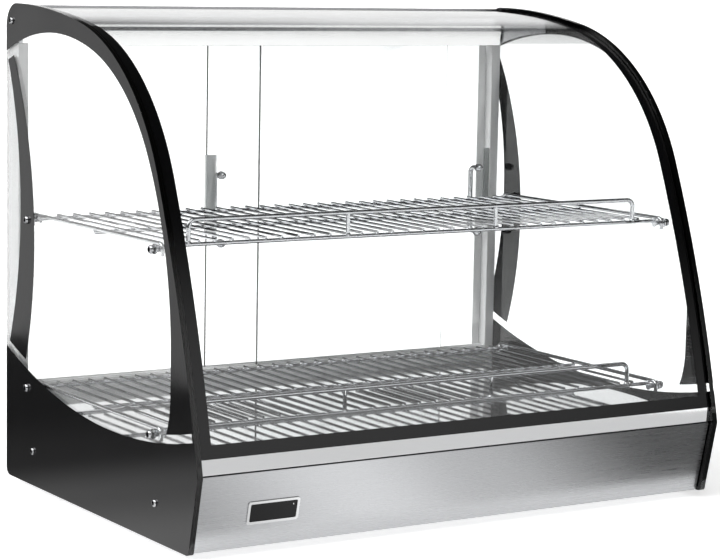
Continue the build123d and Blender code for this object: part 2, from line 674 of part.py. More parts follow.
def hood():
    """Hollow top beam that carries the glass, lamp and upper track."""
    back, step, front = REAR - HOOD_INSET, REAR - TOP_FLAT + FIT, REAR - HOOD_FRONT_FORWARD
    top, seat = HEIGHT - HOOD_INSET, HOOD_SEAT
    skirt_back = TRACK_FRONT - FIT
    outer = polygon((back, TRACK_TOP), (back, top), (step, top), (step, seat), (front, seat),
                    (front, seat - HOOD_LIP), SKIRT_TOP, SKIRT_FOOT,
                    (skirt_back, HOOD_BOTTOM), (skirt_back, TRACK_TOP))
    outer = fillet(corner_near(outer, (back, top)), REAR_TOP_RADIUS - HOOD_INSET)
    floor, roof = TRACK_TOP + SHEET, top - SHEET
    inner = polygon((back - SHEET, floor), (back - SHEET, roof), (step + SHEET, roof),
                    (step + SHEET, seat - SHEET), (front + SHEET, seat - SHEET),
                    (front + SHEET, seat - HOOD_LIP + 0.3),
                    (SKIRT_TOP[0] + 1.2, SKIRT_TOP[1] + 0.6), (SKIRT_TOP[0] + 2.4, floor))
    inner = fillet(corner_near(inner, (back - SHEET, roof)), REAR_TOP_RADIUS - HOOD_INSET - SHEET)
    pocket = skirt_patch(5.0, 16.0, -2.0, 1.0)
    beam = slab(outer - inner, -HOOD_HALF, HOOD_HALF) - slab(pocket, -300, 300)
    return beam


def hood_end_plate():
    """Left end plate of the hood, under the glass and behind the printed wedge."""
    front, tip = REAR - HOOD_FRONT_FORWARD - FIT, REAR - WINDOW_TOP_FORWARD
    ahead = polygon((front, HEIGHT), (front, HOOD_SEAT - HOOD_LIP - FIT),
                    (SKIRT_TOP[0] - END_PLATE_EDGE, SKIRT_TOP[1]),
                    (SKIRT_FOOT[0] - END_PLATE_EDGE, HOOD_BOTTOM), (tip, HOOD_BOTTOM), (tip, HEIGHT))
    under_glass = closed(OUTLINE.edges(FRONT_GLASS_INSET + FRONT_GLASS_THICKNESS + FIT),
                         (FRONT, FOOT_HEIGHT), (REAR - TOP_FLAT, FOOT_HEIGHT))
    window = Pos(*WINDOW.top_centre) * Circle(WINDOW_TOP_RADIUS + END_PLATE_EDGE)
    return slab((ahead & under_glass) - window, -HOOD_HALF, -HOOD_HALF + SHEET)


def hood_end_block():
    """Threaded block inside the left end of the hood."""
    y, z = WEDGE_SCREW
    low = TRACK_TOP + SHEET
    block = box(-HOOD_HALF, -HOOD_HALF + 16, y - 7, y + 6, low, z + 6)
    return block - rod((-HOOD_HALF - 1, y, z), (-HOOD_HALF + 17, y, z), SCREW_HOLE_RADIUS)


def lamp_board():
    """Light strip with its row of emitters."""
    board = slab(skirt_patch(5.3, 15.7, -2.0, -0.9), -298, 298)
    chips = [slab(skirt_patch(8.0, 13.0, -0.9, -0.2), x - 2.5, x + 2.5) for x in range(-288, 289, 24)]
    return board + chips


def lamp_diffuser():
    """Milky cover over the light strip."""
    return slab(skirt_patch(0.6, 20.8, 0.0, 1.8), -HOOD_HALF + 4, HOOD_HALF - 4)


# ---------------------------------------------------------------- doors
DOOR_LOW = DECK_HEIGHT + TRACK_FLOOR + FIT + 1.2
DOOR_HIGH = TRACK_TOP - TRACK_FLOOR - 4.0
LEFT_DOOR_X = -OUTSIDE + DOOR_EDGE_GAP + DOOR_OPENED
RIGHT_DOOR_X = OUTSIDE - DOOR_EDGE_GAP - DOOR_WIDTH


def door_glass(x, y, handle_x):
    """Door pane with the two holes of its handle."""
    pane = box(x, x + DOOR_WIDTH, y - DOOR_THICKNESS / 2, y + DOOR_THICKNESS / 2, DOOR_LOW, DOOR_HIGH)
    for z in handle_heights():
        pane -= rod((handle_x, y - 5, z), (handle_x, y + 5, z), HANDLE_STUD / 2 + 0.4)
    return pane


def handle_heights():
    """Heights of the two legs of a handle."""
    return (HANDLE_HEIGHT - HANDLE_SPAN / 2, HANDLE_HEIGHT + HANDLE_SPAN / 2)


def door_handle(handle_x, y):
    """Bent rod handle with threaded ends through the glass."""
    face = y + DOOR_THICKNESS / 2
    low, high = handle_heights()
    bar = tube_path([(handle_x, face, low), (handle_x, face + HANDLE_STANDOFF, low),
                     (handle_x, face + HANDLE_STANDOFF, high), (handle_x, face, high)], 8.0, HANDLE_ROD)
    inside = y - DOOR_THICKNESS / 2 - 3.5
    return bar + [rod((handle_x, face, z), (handle_x, inside, z), HANDLE_STUD / 2) for z in (low, high)]


def handle_nuts(handle_x, y):
    """Two dome nuts on the inside of a door."""
    face = y - DOOR_THICKNESS / 2
    outward = Plane(origin=(0, face, 0), z_dir=(0, -1, 0))
    hexagon = extrude(outward * RegularPolygon(4.6, 6), 2.6)
    dome = Pos(0, face - 1.8, 0) * Sphere(3.8) & box(-5, 5, face - 6, face - 1.0, -5, 5)
    bore = turned_y(face - 3.9, (4.0, HANDLE_STUD / 2 + 0.1))
    nut = hexagon + dome - bore
    return Compound([Pos(handle_x, 0, z) * nut for z in handle_heights()])


def edge_guard(x, y, side):
    """Clear channel over a door's free edge; side is the way the edge faces."""
    half = DOOR_THICKNESS / 2 + GUARD_WALL
    low, high = GUARD_BOTTOM, GUARD_BOTTOM + GUARD_LENGTH
    outer = box(*sorted((x + side * GUARD_WALL, x - side * GUARD_LAP)), y - half, y + half, low, high)
    glass = box(*sorted((x, x - side * GUARD_LAP * 2)), y - DOOR_THICKNESS / 2, y + DOOR_THICKNESS / 2,
                low - 1, high + 1)
    return outer - glass


def door_glides(x, y):
    """Four nylon shoes on the corners of a door."""
    half = TRACK_SLOT / 2 - FIT
    shoes = []
    for start in (x + 20.0, x + DOOR_WIDTH - 44.0):
        low = box(start, start + 24, y - half, y + half, DOOR_LOW - 1.2, DOOR_LOW + 7)
        high = box(start, start + 24, y - half, y + half, DOOR_HIGH - 7, DOOR_HIGH + 1.2)
        glass = box(start - 1, start + 25, y - DOOR_THICKNESS / 2, y + DOOR_THICKNESS / 2,
                    DOOR_LOW, DOOR_HIGH)
        shoes += [low - glass, high - glass]
    return Compound(shoes)


# ---------------------------------------------------------------- racks
def rack(stud_z):
    """Welded wire rack whose side rails end in hooks over the studs."""
    rail_z = stud_z + RAIL_RISE
    front, back = STUD_YS[0] - RAIL_RISE, STUD_YS[1] + RAIL_RISE
    tail = stud_z - HOOK_DROP
    wires = []
    for side in (-1, 1):
        x = side * RAIL_X
        wires.append(tube_path([(x, front, tail), (x, front, rail_z), (x, back, rail_z), (x, back, tail)],
                               RAIL_RISE, RAIL_WIRE))
    cross_z = rail_z - (RAIL_WIRE + CROSS_WIRE) / 2 + WELD
    grid_z = cross_z + (CROSS_WIRE + GRID_WIRE) / 2 - WELD
    cross_front, cross_back = rack_cross_lines()
    for y in (cross_front, (cross_front + cross_back) / 2, cross_back):
        wires.append(rod((-RAIL_X, y, cross_z), (RAIL_X, y, cross_z), CROSS_WIRE / 2))
    count = int((RAIL_X - GRID_PITCH * 0.75) // GRID_PITCH)
    for index in range(-count, count + 1):
        x = index * GRID_PITCH
        wires.append(rod((x, cross_front - 1.5, grid_z), (x, cross_back + 1.5, grid_z), GRID_WIRE / 2))
    return wires[0] + wires[1:]


def rack_cross_lines():
    """Depths of the front and rear cross wires."""
    return STUD_YS[0] + 8.5, STUD_YS[1] - 8.5


def guard_rail(stud_z, welded_to):
    """Low rail along the front of a rack, on four posts."""
    y = rack_cross_lines()[0]
    base = stud_z + RAIL_RISE - (RAIL_WIRE + CROSS_WIRE) / 2 + WELD + 1.0
    top = stud_z + GUARD_RAIL_RISE - GUARD_RAIL_WIRE / 2
    reach = OUTSIDE - GUARD_RAIL_INSET
    corners = [(-reach, y, base), (-reach, y, top), (reach, y, top), (reach, y, base)]
    bar = tube_path(corners, 8.0, GUARD_RAIL_WIRE)
    for x in (-reach / 3, reach / 3):
        bar += rod((x, y, base), (x, y, top), GUARD_RAIL_WIRE / 2 - 0.3)
    return bar - welded_to


def on_both_sides(pieces):
    """Left pieces and their mirror images, as separate solids."""
    return Compound(pieces + [mirrored(piece) for piece in pieces])


def rack_studs():
    """Eight flanged sleeves that the racks hang on."""
    studs = []
    for z in RACK_HEIGHTS.values():
        for y in STUD_YS:
            start, end = (-PANE_IN, y, z), (-PANE_IN + STUD_LENGTH, y, z)
            sleeve = rod(start, end, STUD_RADIUS)
            base = rod(start, (-PANE_IN + STUD_FLANGE, y, z), STUD_FLANGE_RADIUS)
            tip = rod((-PANE_IN + STUD_LENGTH - STUD_FLANGE, y, z), end, STUD_FLANGE_RADIUS - 1.0)
            bore = rod((-PANE_IN - 1, y, z), (-PANE_IN + STUD_LENGTH - 4, y, z), SCREW_RADIUS)
            studs.append(sleeve + base + tip - bore)
    return on_both_sides(studs)


def stud_screws():
    """Eight domed cap screws that hold the studs from outside."""
    screws = []
    for z in RACK_HEIGHTS.values():
        for y in STUD_YS:
            under = stud_head_seat(y)
            head = rod((under, y, z), (under - 3.4, y, z), SCREW_HEAD_RADIUS + 0.5)
            head = fillet(head.faces().sort_by(Axis.X)[0].edges(), 1.6)
            shank = rod((under, y, z), (-PANE_IN + STUD_LENGTH - 5, y, z), SCREW_RADIUS)
            screws.append(head + shank)
    return on_both_sides(screws)


def stud_head_seat(y):
    """Seat of a stud screw: on print where the glass is printed, else on clear glass."""
    printed = y == STUD_YS[1]
    return -OUTSIDE if printed else -PANE_OUT


def side_screws():
    """Socket screws that clamp each side glass to the hood and base."""
    screws = []
    for y, z in (WEDGE_SCREW, *BASE_SCREWS):
        head = rod((-OUTSIDE, y, z), (-OUTSIDE - SCREW_HEAD, y, z), SCREW_HEAD_RADIUS)
        head = fillet(head.faces().sort_by(Axis.X)[0].edges(), 0.8)
        top = Plane(origin=(-OUTSIDE - SCREW_HEAD, y, z), x_dir=(0, 1, 0), z_dir=(1, 0, 0))
        shank = rod((-OUTSIDE, y, z), (-PANE_IN + 12, y, z), SCREW_RADIUS)
        screws.append(head + shank - extrude(top * RegularPolygon(2.2, 6), 1.8))
    return on_both_sides(screws)


def base_nuts():
    """Nuts inside the base for the lower side screws."""
    nuts = []
    for y, z in BASE_SCREWS:
        wall = Plane(origin=(-WALL_IN, y, z), z_dir=(1, 0, 0))
        nuts.append(extrude(wall * (RegularPolygon(5.0, 6) - Circle(SCREW_HOLE_RADIUS)), 4.0))
    return on_both_sides(nuts)


# ---------------------------------------------------------------- the assembly
def nodes():
    """Every piece by its node name."""
    left_glass, left_print = side_glass(), side_print()
    seal = side_seal()
    left_handle_x = LEFT_DOOR_X + HANDLE_INSET
    right_handle_x = RIGHT_DOOR_X + DOOR_WIDTH - HANDLE_INSET
    racks = {name: rack(z) for name, z in RACK_HEIGHTS.items()}
    post, plate, block = rear_post(), hood_end_plate(), hood_end_block()
    return {
        "left_side_glass": left_glass, "right_side_glass": mirrored(left_glass),
        "left_side_print": left_print, "right_side_print": mirrored(left_print),
        "front_glass": front_glass(), "front_glass_print": front_border(),
        "front_glass_side_seals": Compound([seal, mirrored(seal)]),
        "front_glass_foot_seal": glass_foot_seal(),
        "upper_front_strip": upper_front_strip(), "lower_front_panel": lower_front_panel(),
        "front_seam_gasket": seam_gasket(), "base_chassis": chassis(), "deck": deck(),
        "heating_element": heating_element(), "heater_clips": heater_clips(),
        "rubber_feet": rubber_feet(), "foot_screws": foot_screws(), "foot_nuts": foot_nuts(),
        "controller_bezel": controller_bezel(), "controller_display": display_window(),
        "controller_body": controller_body(), "rear_panel": rear_panel(),
        "power_switch_housing": switch_housing(POWER_SWITCH_X), "power_rocker": rocker(POWER_SWITCH_X),
        "lamp_switch_housing": switch_housing(LAMP_SWITCH_X), "lamp_rocker": rocker(LAMP_SWITCH_X),
        "thermostat_body": thermostat_body(), "thermostat_shaft": thermostat_shaft(),
        "thermostat_knob": thermostat_knob(), "thermostat_dial_plate": dial_plate(),
        "cord_gland": cord_gland(), "cord_gland_nut": gland_nut(), "terminal_block": terminal_block(),
        "left_rear_post": post, "right_rear_post": mirrored(post),
        "lower_door_track": lower_track(), "upper_door_track": upper_track(), "rear_hood": hood(),
        "hood_end_plates": Compound([plate, mirrored(plate)]),
        "hood_end_blocks": Compound([block, mirrored(block)]),
        "lamp_board": lamp_board(), "lamp_diffuser": lamp_diffuser(),
        "left_door_glass": door_glass(LEFT_DOOR_X, OUTER_DOOR_Y, left_handle_x),
        "left_door_handle": door_handle(left_handle_x, OUTER_DOOR_Y),
        "left_door_handle_nuts": handle_nuts(left_handle_x, OUTER_DOOR_Y),
        "left_door_edge_guard": edge_guard(LEFT_DOOR_X, OUTER_DOOR_Y, -1),
        "left_door_glides": door_glides(LEFT_DOOR_X, OUTER_DOOR_Y),
        "right_door_glass": door_glass(RIGHT_DOOR_X, INNER_DOOR_Y, right_handle_x),
        "right_door_handle": door_handle(right_handle_x, INNER_DOOR_Y),
        "right_door_handle_nuts": handle_nuts(right_handle_x, INNER_DOOR_Y),
        "right_door_edge_guard": edge_guard(RIGHT_DOOR_X + DOOR_WIDTH, INNER_DOOR_Y, 1),
        "right_door_glides": door_glides(RIGHT_DOOR_X, INNER_DOOR_Y),
        "upper_rack": racks["upper"], "upper_rack_guard": guard_rail(RACK_HEIGHTS["upper"], racks["upper"]),
        "lower_rack": racks["lower"], "lower_rack_guard": guard_rail(RACK_HEIGHTS["lower"], racks["lower"]),
        "rack_studs": rack_studs(), "rack_stud_screws": stud_screws(),
        "side_screws": side_screws(), "base_nuts": base_nuts(),
    }


os.makedirs("parts", exist_ok=True)
for name, shape in nodes().items():
    export_step(shape, f"parts/{name}.step")
print("overall", WIDTH + 2 * SCREW_HEAD, DEPTH, HEIGHT)
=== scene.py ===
"""Hot food display case: its finishes and finely made pieces, built round the fixed frame.

Glass and sheet metal get broken edges, and the wire racks, rails, handles, nuts, screws, knob,
rockers, feet and dial are made again in full detail.  What stays as it is takes its finish here.
"""

import json
import logging
import math
from contextlib import contextmanager
from dataclasses import dataclass, field
from enum import Enum
from typing import Iterable, Iterator

import bmesh
import bpy
from mathutils import Matrix, Vector


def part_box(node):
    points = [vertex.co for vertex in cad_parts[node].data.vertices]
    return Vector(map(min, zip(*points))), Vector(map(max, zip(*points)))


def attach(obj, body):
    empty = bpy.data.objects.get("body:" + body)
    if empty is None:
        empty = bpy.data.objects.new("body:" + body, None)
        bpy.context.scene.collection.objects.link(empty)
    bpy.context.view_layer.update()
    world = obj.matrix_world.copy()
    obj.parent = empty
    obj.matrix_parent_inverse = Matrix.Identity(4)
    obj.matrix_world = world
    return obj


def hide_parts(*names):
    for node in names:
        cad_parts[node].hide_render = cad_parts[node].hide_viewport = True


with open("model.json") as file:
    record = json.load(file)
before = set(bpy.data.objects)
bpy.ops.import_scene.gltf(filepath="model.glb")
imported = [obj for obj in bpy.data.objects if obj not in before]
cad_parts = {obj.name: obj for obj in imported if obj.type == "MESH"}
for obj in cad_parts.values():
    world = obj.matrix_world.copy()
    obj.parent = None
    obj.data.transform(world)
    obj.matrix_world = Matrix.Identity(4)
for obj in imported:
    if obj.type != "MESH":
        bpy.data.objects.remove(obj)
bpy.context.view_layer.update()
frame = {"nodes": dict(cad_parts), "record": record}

MM = 0.001
LOG = logging.getLogger("display_case")
SAME_SPOT = 0.002 * MM      # corners nearer than this are one corner
FLAT_ANGLE = 0.4            # degrees; faces that turn by less are one face
SHARP_EDGE = 35.0           # degrees; edges that turn by more are broken
CRISP_EDGE = 32.0           # degrees; edges that turn by more are not shaded smooth
Links = dict[str | int, object]


# ------------------------------------------------------------------ small helpers
def linear(code: str) -> tuple[float, float, float, float]:
    """Turn an sRGB hex colour into a linear one.

    Args:
        code: Six hex digits, with or without a leading hash.

    Returns:
        Red, green, blue and alpha for a shader socket.
    """
    digits = code.lstrip("#")
    shares = [int(digits[i:i + 2], 16) / 255 for i in (0, 2, 4)]
    curve = [s / 12.92 if s <= 0.04045 else ((s + 0.055) / 1.055) ** 2.4 for s in shares]
    return (*curve, 1.0)


def add(tree: bpy.types.NodeTree, kind: str, inputs: Links | None = None,
        **settings: object) -> bpy.types.Node:
    """Add a node, set its properties, and set or link its inputs.

    Args:
        tree: Node tree that gets the node.
        kind: Blender's name for the node's type.
        inputs: Value or output socket for each named input.
        settings: Properties of the node itself.

    Returns:
        The new node.
    """
    node = tree.nodes.new(kind)
    for name, value in settings.items():
        setattr(node, name, value)
    for name, value in (inputs or {}).items():
        if isinstance(value, bpy.types.NodeSocket):
            tree.links.new(value, node.inputs[name])
        else:
            node.inputs[name].default_value = value
    return node


def body_of(node: str) -> str:
    """Return the body that a CAD node rides on."""
    bodies = frame["record"]["behaviour"]["bodies"]
    return next(body for body, members in bodies.items() if node in members)


# ------------------------------------------------------------------ finishes
class Grain(Enum):
    """Which way the lines of a drawn, rolled or brushed surface run."""

    ACROSS = (1.0, 0.0, 0.0)
    DEEP = (0.0, 1.0, 0.0)
    UPRIGHT = (0.0, 0.0, 1.0)

    def scale(self, line: float, width: float) -> tuple[float, float, float]:
        """Return the Mapping scale for lines of a length and a width, in metres."""
        return tuple(1 / line if share else 1 / width for share in self.value)


@dataclass(frozen=True)
class Finish:
    """A plain dielectric or metal finish; its kin add their surface detail."""

    name: str
    colour: str
    roughness: float
    metallic: float = 0.0
    ior: float = 1.5
    transmission: float = 0.0
    specular: float = 0.5
    alpha: float = 1.0

    def material(self) -> bpy.types.Material:
        """Return the finish's material, made once."""
        return bpy.data.materials.get(self.name) or self.make()

    def make(self) -> bpy.types.Material:
        """Make the material: a Principled shader with this finish's surface.

        Returns:
            The new material.
        """
        material = bpy.data.materials.new(self.name)
        material.use_nodes = True
        tree = material.node_tree
        tree.nodes.clear()
        shader = add(tree, "ShaderNodeBsdfPrincipled", {
            "Base Color": linear(self.colour), "Roughness": self.roughness, "Metallic": self.metallic,
            "Transmission Weight": self.transmission, "Specular IOR Level": self.specular,
            "Alpha": self.alpha,
        })
        if not self.metallic:
            shader.inputs["IOR"].default_value = self.ior
        place = add(tree, "ShaderNodeTexCoord").outputs["Object"]
        self.surface(tree, shader, place)
        add(tree, "ShaderNodeOutputMaterial", {"Surface": shader.outputs["BSDF"]})
        return material

    def surface(self, tree: bpy.types.NodeTree, shader: bpy.types.Node, place: bpy.types.NodeSocket) -> None:
        """Vary the roughness a little, as handling does.

        Args:
            tree: The material's node tree.
            shader: Its Principled shader.
            place: Object coordinates, in metres.
        """
        self.vary(tree, shader, place, 40 * MM, 0.25)

    def vary(self, tree: bpy.types.NodeTree, shader: bpy.types.Node, place: bpy.types.NodeSocket,
             size: float, share: float) -> bpy.types.Node:
        """Spread the roughness either side of its value.

        Args:
            tree: The material's node tree.
            shader: Its Principled shader.
            place: Coordinates that the noise reads.
            size: Size of the patches, in metres.
            share: How far the roughness strays, as a share of itself.

        Returns:
            The noise node.
        """
        noise = add(tree, "ShaderNodeTexNoise", {"Vector": place, "Scale": 1 / size, "Detail": 3.0})
        spread = add(tree, "ShaderNodeMapRange", {
            "Value": noise.outputs[0], "From Min": 0.3, "From Max": 0.7,
            "To Min": self.roughness * (1 - share), "To Max": self.roughness * (1 + share)})
        tree.links.new(spread.outputs[0], shader.inputs["Roughness"])
        return noise

    def emboss(self, tree: bpy.types.NodeTree, shader: bpy.types.Node, height: bpy.types.NodeSocket,
               depth: float) -> None:
        """Turn a height pattern into relief.

        Args:
            tree: The material's node tree.
            shader: Its Principled shader.
            height: Output that gives the pattern, from 0 to 1.
            depth: Height of the relief, in metres.
        """
        bump = add(tree, "ShaderNodeBump", {"Height": height, "Distance": depth, "Strength": 1.0})
        tree.links.new(bump.outputs[0], shader.inputs["Normal"])


@dataclass(frozen=True)
class PolishedPlate(Finish):
    """Mirror-like sheet or glass whose flatness wanders a little over a hand's breadth."""

    wave: float = 90 * MM
    relief: float = 0.02 * MM

    def surface(self, tree: bpy.types.NodeTree, shader: bpy.types.Node, place: bpy.types.NodeSocket) -> None:
        """Add slow waves and faint handling marks."""
        self.vary(tree, shader, place, self.wave / 3, 0.35)
        wave = add(tree, "ShaderNodeTexNoise", {"Vector": place, "Scale": 1 / self.wave, "Detail": 1.0})
        self.emboss(tree, shader, wave.outputs[0], self.relief)


@dataclass(frozen=True)
class LinedMetal(Finish):
    """Brushed, rolled or extruded metal: fine lines in one direction."""

    grain: Grain = Grain.ACROSS
    line: float = 45 * MM
    width: float = 0.5 * MM  # real lines are about 0.1 mm, too fine to show
    relief: float = 0.004 * MM
    shade: float = 0.06

    def surface(self, tree: bpy.types.NodeTree, shader: bpy.types.Node, place: bpy.types.NodeSocket) -> None:
        """Lay lines into the roughness, the relief and, faintly, the colour."""
        scale = self.grain.scale(self.line, self.width)
        along = add(tree, "ShaderNodeMapping", {"Vector": place, "Scale": scale})
        lines = self.vary(tree, shader, along.outputs[0], 1.0, 0.3)
        self.emboss(tree, shader, lines.outputs[0], self.relief)
        colour = linear(self.colour)
        dark = tuple(share * (1 - self.shade) for share in colour[:3]) + (1.0,)
        mixed = add(tree, "ShaderNodeMix", {"Factor": lines.outputs[0]}, data_type="RGBA")
        mixed.inputs[6].default_value = dark
        mixed.inputs[7].default_value = colour
        tree.links.new(mixed.outputs[2], shader.inputs["Base Color"])


@dataclass(frozen=True)
class GrainedSkin(Finish):
    """Moulded, fired or cast skin with a fine even grain."""

    grain: float = 0.6 * MM
    relief: float = 0.02 * MM

    def surface(self, tree: bpy.types.NodeTree, shader: bpy.types.Node, place: bpy.types.NodeSocket) -> None:
        """Add the grain as relief, over a slow change of gloss."""
        self.vary(tree, shader, place, 60 * MM, 0.2)
        grain = add(tree, "ShaderNodeTexNoise", {"Vector": place, "Scale": 1 / self.grain, "Detail": 2.0})
        self.emboss(tree, shader, grain.outputs[0], self.relief)


@dataclass(frozen=True)
class LitSkin(GrainedSkin):
    """Grained skin that also gives light."""

    glow: float = 0.6

    def surface(self, tree: bpy.types.NodeTree, shader: bpy.types.Node, place: bpy.types.NodeSocket) -> None:
        """Add the light to the grain."""
        super().surface(tree, shader, place)
        shader.inputs["Emission Color"].default_value = linear("#FFFFFF")
        shader.inputs["Emission Strength"].default_value = self.glow


@dataclass(frozen=True)
class GradedCard(Finish):
    """Lit card whose brightness changes along one axis."""

    axis: str = "X"
    stops: tuple[tuple[float, float], ...] = ()

    def surface(self, tree: bpy.types.NodeTree, shader: bpy.types.Node, place: bpy.types.NodeSocket) -> None:
        """Grade the light from stop to stop; each stop is a place and a strength."""
        across = add(tree, "ShaderNodeSeparateXYZ", {"Vector": place}).outputs[self.axis]
        level = self.stops[0][1]
        for (start, before), (end, after) in zip(self.stops, self.stops[1:]):
            part = add(tree, "ShaderNodeMapRange", {"Value": across, "From Min": start, "From Max": end,
                                                    "To Min": 0.0, "To Max": after - before},
                       interpolation_type="SMOOTHSTEP")
            level = add(tree, "ShaderNodeMath", {0: level, 1: part.outputs[0]}, operation="ADD").outputs[0]
        shader.inputs["Base Color"].default_value = linear("#000000")
        shader.inputs["Emission Color"].default_value = linear(self.colour)
        tree.links.new(level, shader.inputs["Emission Strength"])


@dataclass(frozen=True)
class TintedTube(Finish):
    """Steel sheath that heat has coloured in bands."""

    hot: str = "#5B4A3A"

    def surface(self, tree: bpy.types.NodeTree, shader: bpy.types.Node, place: bpy.types.NodeSocket) -> None:
        """Blend straw and brown patches over the steel."""
        patch = self.vary(tree, shader, place, 30 * MM, 0.3)
        mixed = add(tree, "ShaderNodeMix", {"Factor": patch.outputs[0]}, data_type="RGBA")
        mixed.inputs[6].default_value = linear(self.colour)
        mixed.inputs[7].default_value = linear(self.hot)
        tree.links.new(mixed.outputs[2], shader.inputs["Base Color"])


# Toughened soda-lime float glass: clear, almost without tint, with rollers' faint waves; its
# reflections are held back, as behind a polarising filter.
TOUGHENED_GLASS = PolishedPlate("toughened_float_glass", "#FDFEFE", 0.004, ior=1.5, transmission=1.0,
                                specular=0.15, wave=150 * MM, relief=0.01 * MM)
# Black ceramic enamel, screened and fired on glass: deep black with a slightly soft gloss.
FIRED_ENAMEL = GrainedSkin("fired_black_enamel", "#060607", 0.12, ior=1.45, grain=1.4 * MM, relief=0.004 * MM)
# Stainless sheet brushed along its length: even grey with soft streaks of light.
BRUSHED_STAINLESS = LinedMetal("brushed_stainless", "#BDBEC0", 0.3, metallic=1.0)
# Bright annealed stainless: near-mirror sheet with slow ripples.
BRIGHT_STAINLESS = PolishedPlate("bright_annealed_stainless", "#E2E3E4", 0.05, metallic=1.0, relief=0.03 * MM)
# Satin rolled stainless of the hood and inner walls: a blurred mirror.
SATIN_STAINLESS = LinedMetal("satin_rolled_stainless", "#B6B7B9", 0.24, metallic=1.0, width=0.7 * MM,
                             shade=0.03)
# Chromium plate over drawn wire: hard mirror with a hint of die lines.
CHROME_WIRE = LinedMetal("chrome_plated_wire", "#C6C7C9", 0.05, metallic=1.0, grain=Grain.DEEP, line=30 * MM,
                         width=0.8 * MM, relief=0.002 * MM, shade=0.04)
# Polished stainless of turned screws, nuts and studs.
TURNED_STAINLESS = Finish("turned_stainless", "#C8C9CB", 0.13, metallic=1.0)
# Satin anodised aluminium, extruded upright: fine die lines.
ANODISED_UPRIGHT = LinedMetal("anodised_aluminium_upright", "#FBFBFB", 0.45, metallic=0.12,
                              grain=Grain.UPRIGHT, line=80 * MM, shade=0.05)
# The same extruded across the case, for the door tracks.
ANODISED_ACROSS = LinedMetal("anodised_aluminium_across", "#FBFBFB", 0.45, metallic=0.12, line=80 * MM,
                             shade=0.05)
# EPDM rubber: matt black that greys on its edges.
BLACK_RUBBER = GrainedSkin("epdm_rubber", "#151515", 0.62, grain=0.8 * MM, relief=0.03 * MM)
# ABS moulded in a spark-eroded tool: soft black sheen with a fine texture.
BLACK_ABS = GrainedSkin("moulded_black_abs", "#141415", 0.4, grain=0.5 * MM, relief=0.02 * MM)
# Smoked acrylic over the display: nearly black and very glossy.
SMOKED_ACRYLIC = PolishedPlate("smoked_acrylic", "#050506", 0.05, ior=1.36, wave=40 * MM)
# Opal polycarbonate lens: milky white, slightly waxy, lit softly by the strip behind it.
OPAL_LENS = LitSkin("opal_polycarbonate", "#F6F6F4", 0.35, grain=1.2 * MM, relief=0.01 * MM, glow=0.95)
# Clear flexible PVC channel: glassy with a hazy surface.
CLEAR_PVC = GrainedSkin("clear_pvc", "#E3E6E6", 0.2, ior=1.52, alpha=0.42, grain=2.0 * MM, relief=0.02 * MM)
# Natural nylon glides: waxy off-white.
NATURAL_NYLON = GrainedSkin("natural_nylon", "#E9E6DC", 0.42, grain=0.9 * MM, relief=0.02 * MM)
# White solder resist on the light strip's board.
WHITE_BOARD = GrainedSkin("white_solder_resist", "#DFE2DE", 0.4, grain=1.0 * MM, relief=0.005 * MM)
# Bright-plated ABS of the display's rim.
PLATED_ABS = Finish("bright_plated_abs", "#DCDDDE", 0.16, metallic=1.0)
# White paint filled into moulded marks.
WHITE_MARKING = GrainedSkin("white_marking_paint", "#E8E8E6", 0.5, grain=0.7 * MM, relief=0.01 * MM)
# Black anodised dial plate, satin.
BLACK_DIAL = GrainedSkin("black_anodised_dial", "#0F0F10", 0.33, metallic=0.4, grain=0.5 * MM,
                          relief=0.006 * MM)
# White paper of the studio floor, on a table that is lit from below.
LIT_PAPER = LitSkin("lit_studio_paper", "#F4F4F4", 0.9, grain=3 * MM, relief=0.01 * MM)
# Pale grey floor round it, catching the lamps below the table.
FLOOR_PAINT = LitSkin("grey_floor_paint", "#C8C8C8", 0.8, grain=5 * MM, relief=0.01 * MM, glow=0.2)
# Card shaded from white to black, seen only in the left glass print.
SIDE_CARD = GradedCard("side_graded_card", "#FFFFFF", 0.9, axis="Y",
                       stops=((-0.12, 1.0), (0.1, 0.55), (0.3, 0.1), (0.6, 0.02)))
# Card shaded from grey to white and back, seen only in the front panel.
FRONT_CARD = GradedCard("front_graded_card", "#FFFFFF", 0.9,
                        stops=((-0.34, 0.55), (-0.08, 1.35), (0.08, 0.9), (0.34, 0.12)))
# Nickel-iron heater sheath, straw to brown where it has been hot.
HEATER_SHEATH = TintedTube("heater_sheath", "#8D8578", 0.38, metallic=1.0)


# ------------------------------------------------------------------ mesh work
def stand_at(centre: Vector, facing: Vector, upward: str = "Y") -> Matrix:
    """Return the matrix that stands a piece, made along +Z at the origin, at a place.

    Args:
        centre: Where the piece's origin goes.
        facing: Where its +Z then points.
        upward: Its axis that stays as upright as it can.

    Returns:
        The placing matrix.
    """
    return Matrix.Translation(centre) @ facing.to_track_quat("Z", upward).to_matrix().to_4x4()


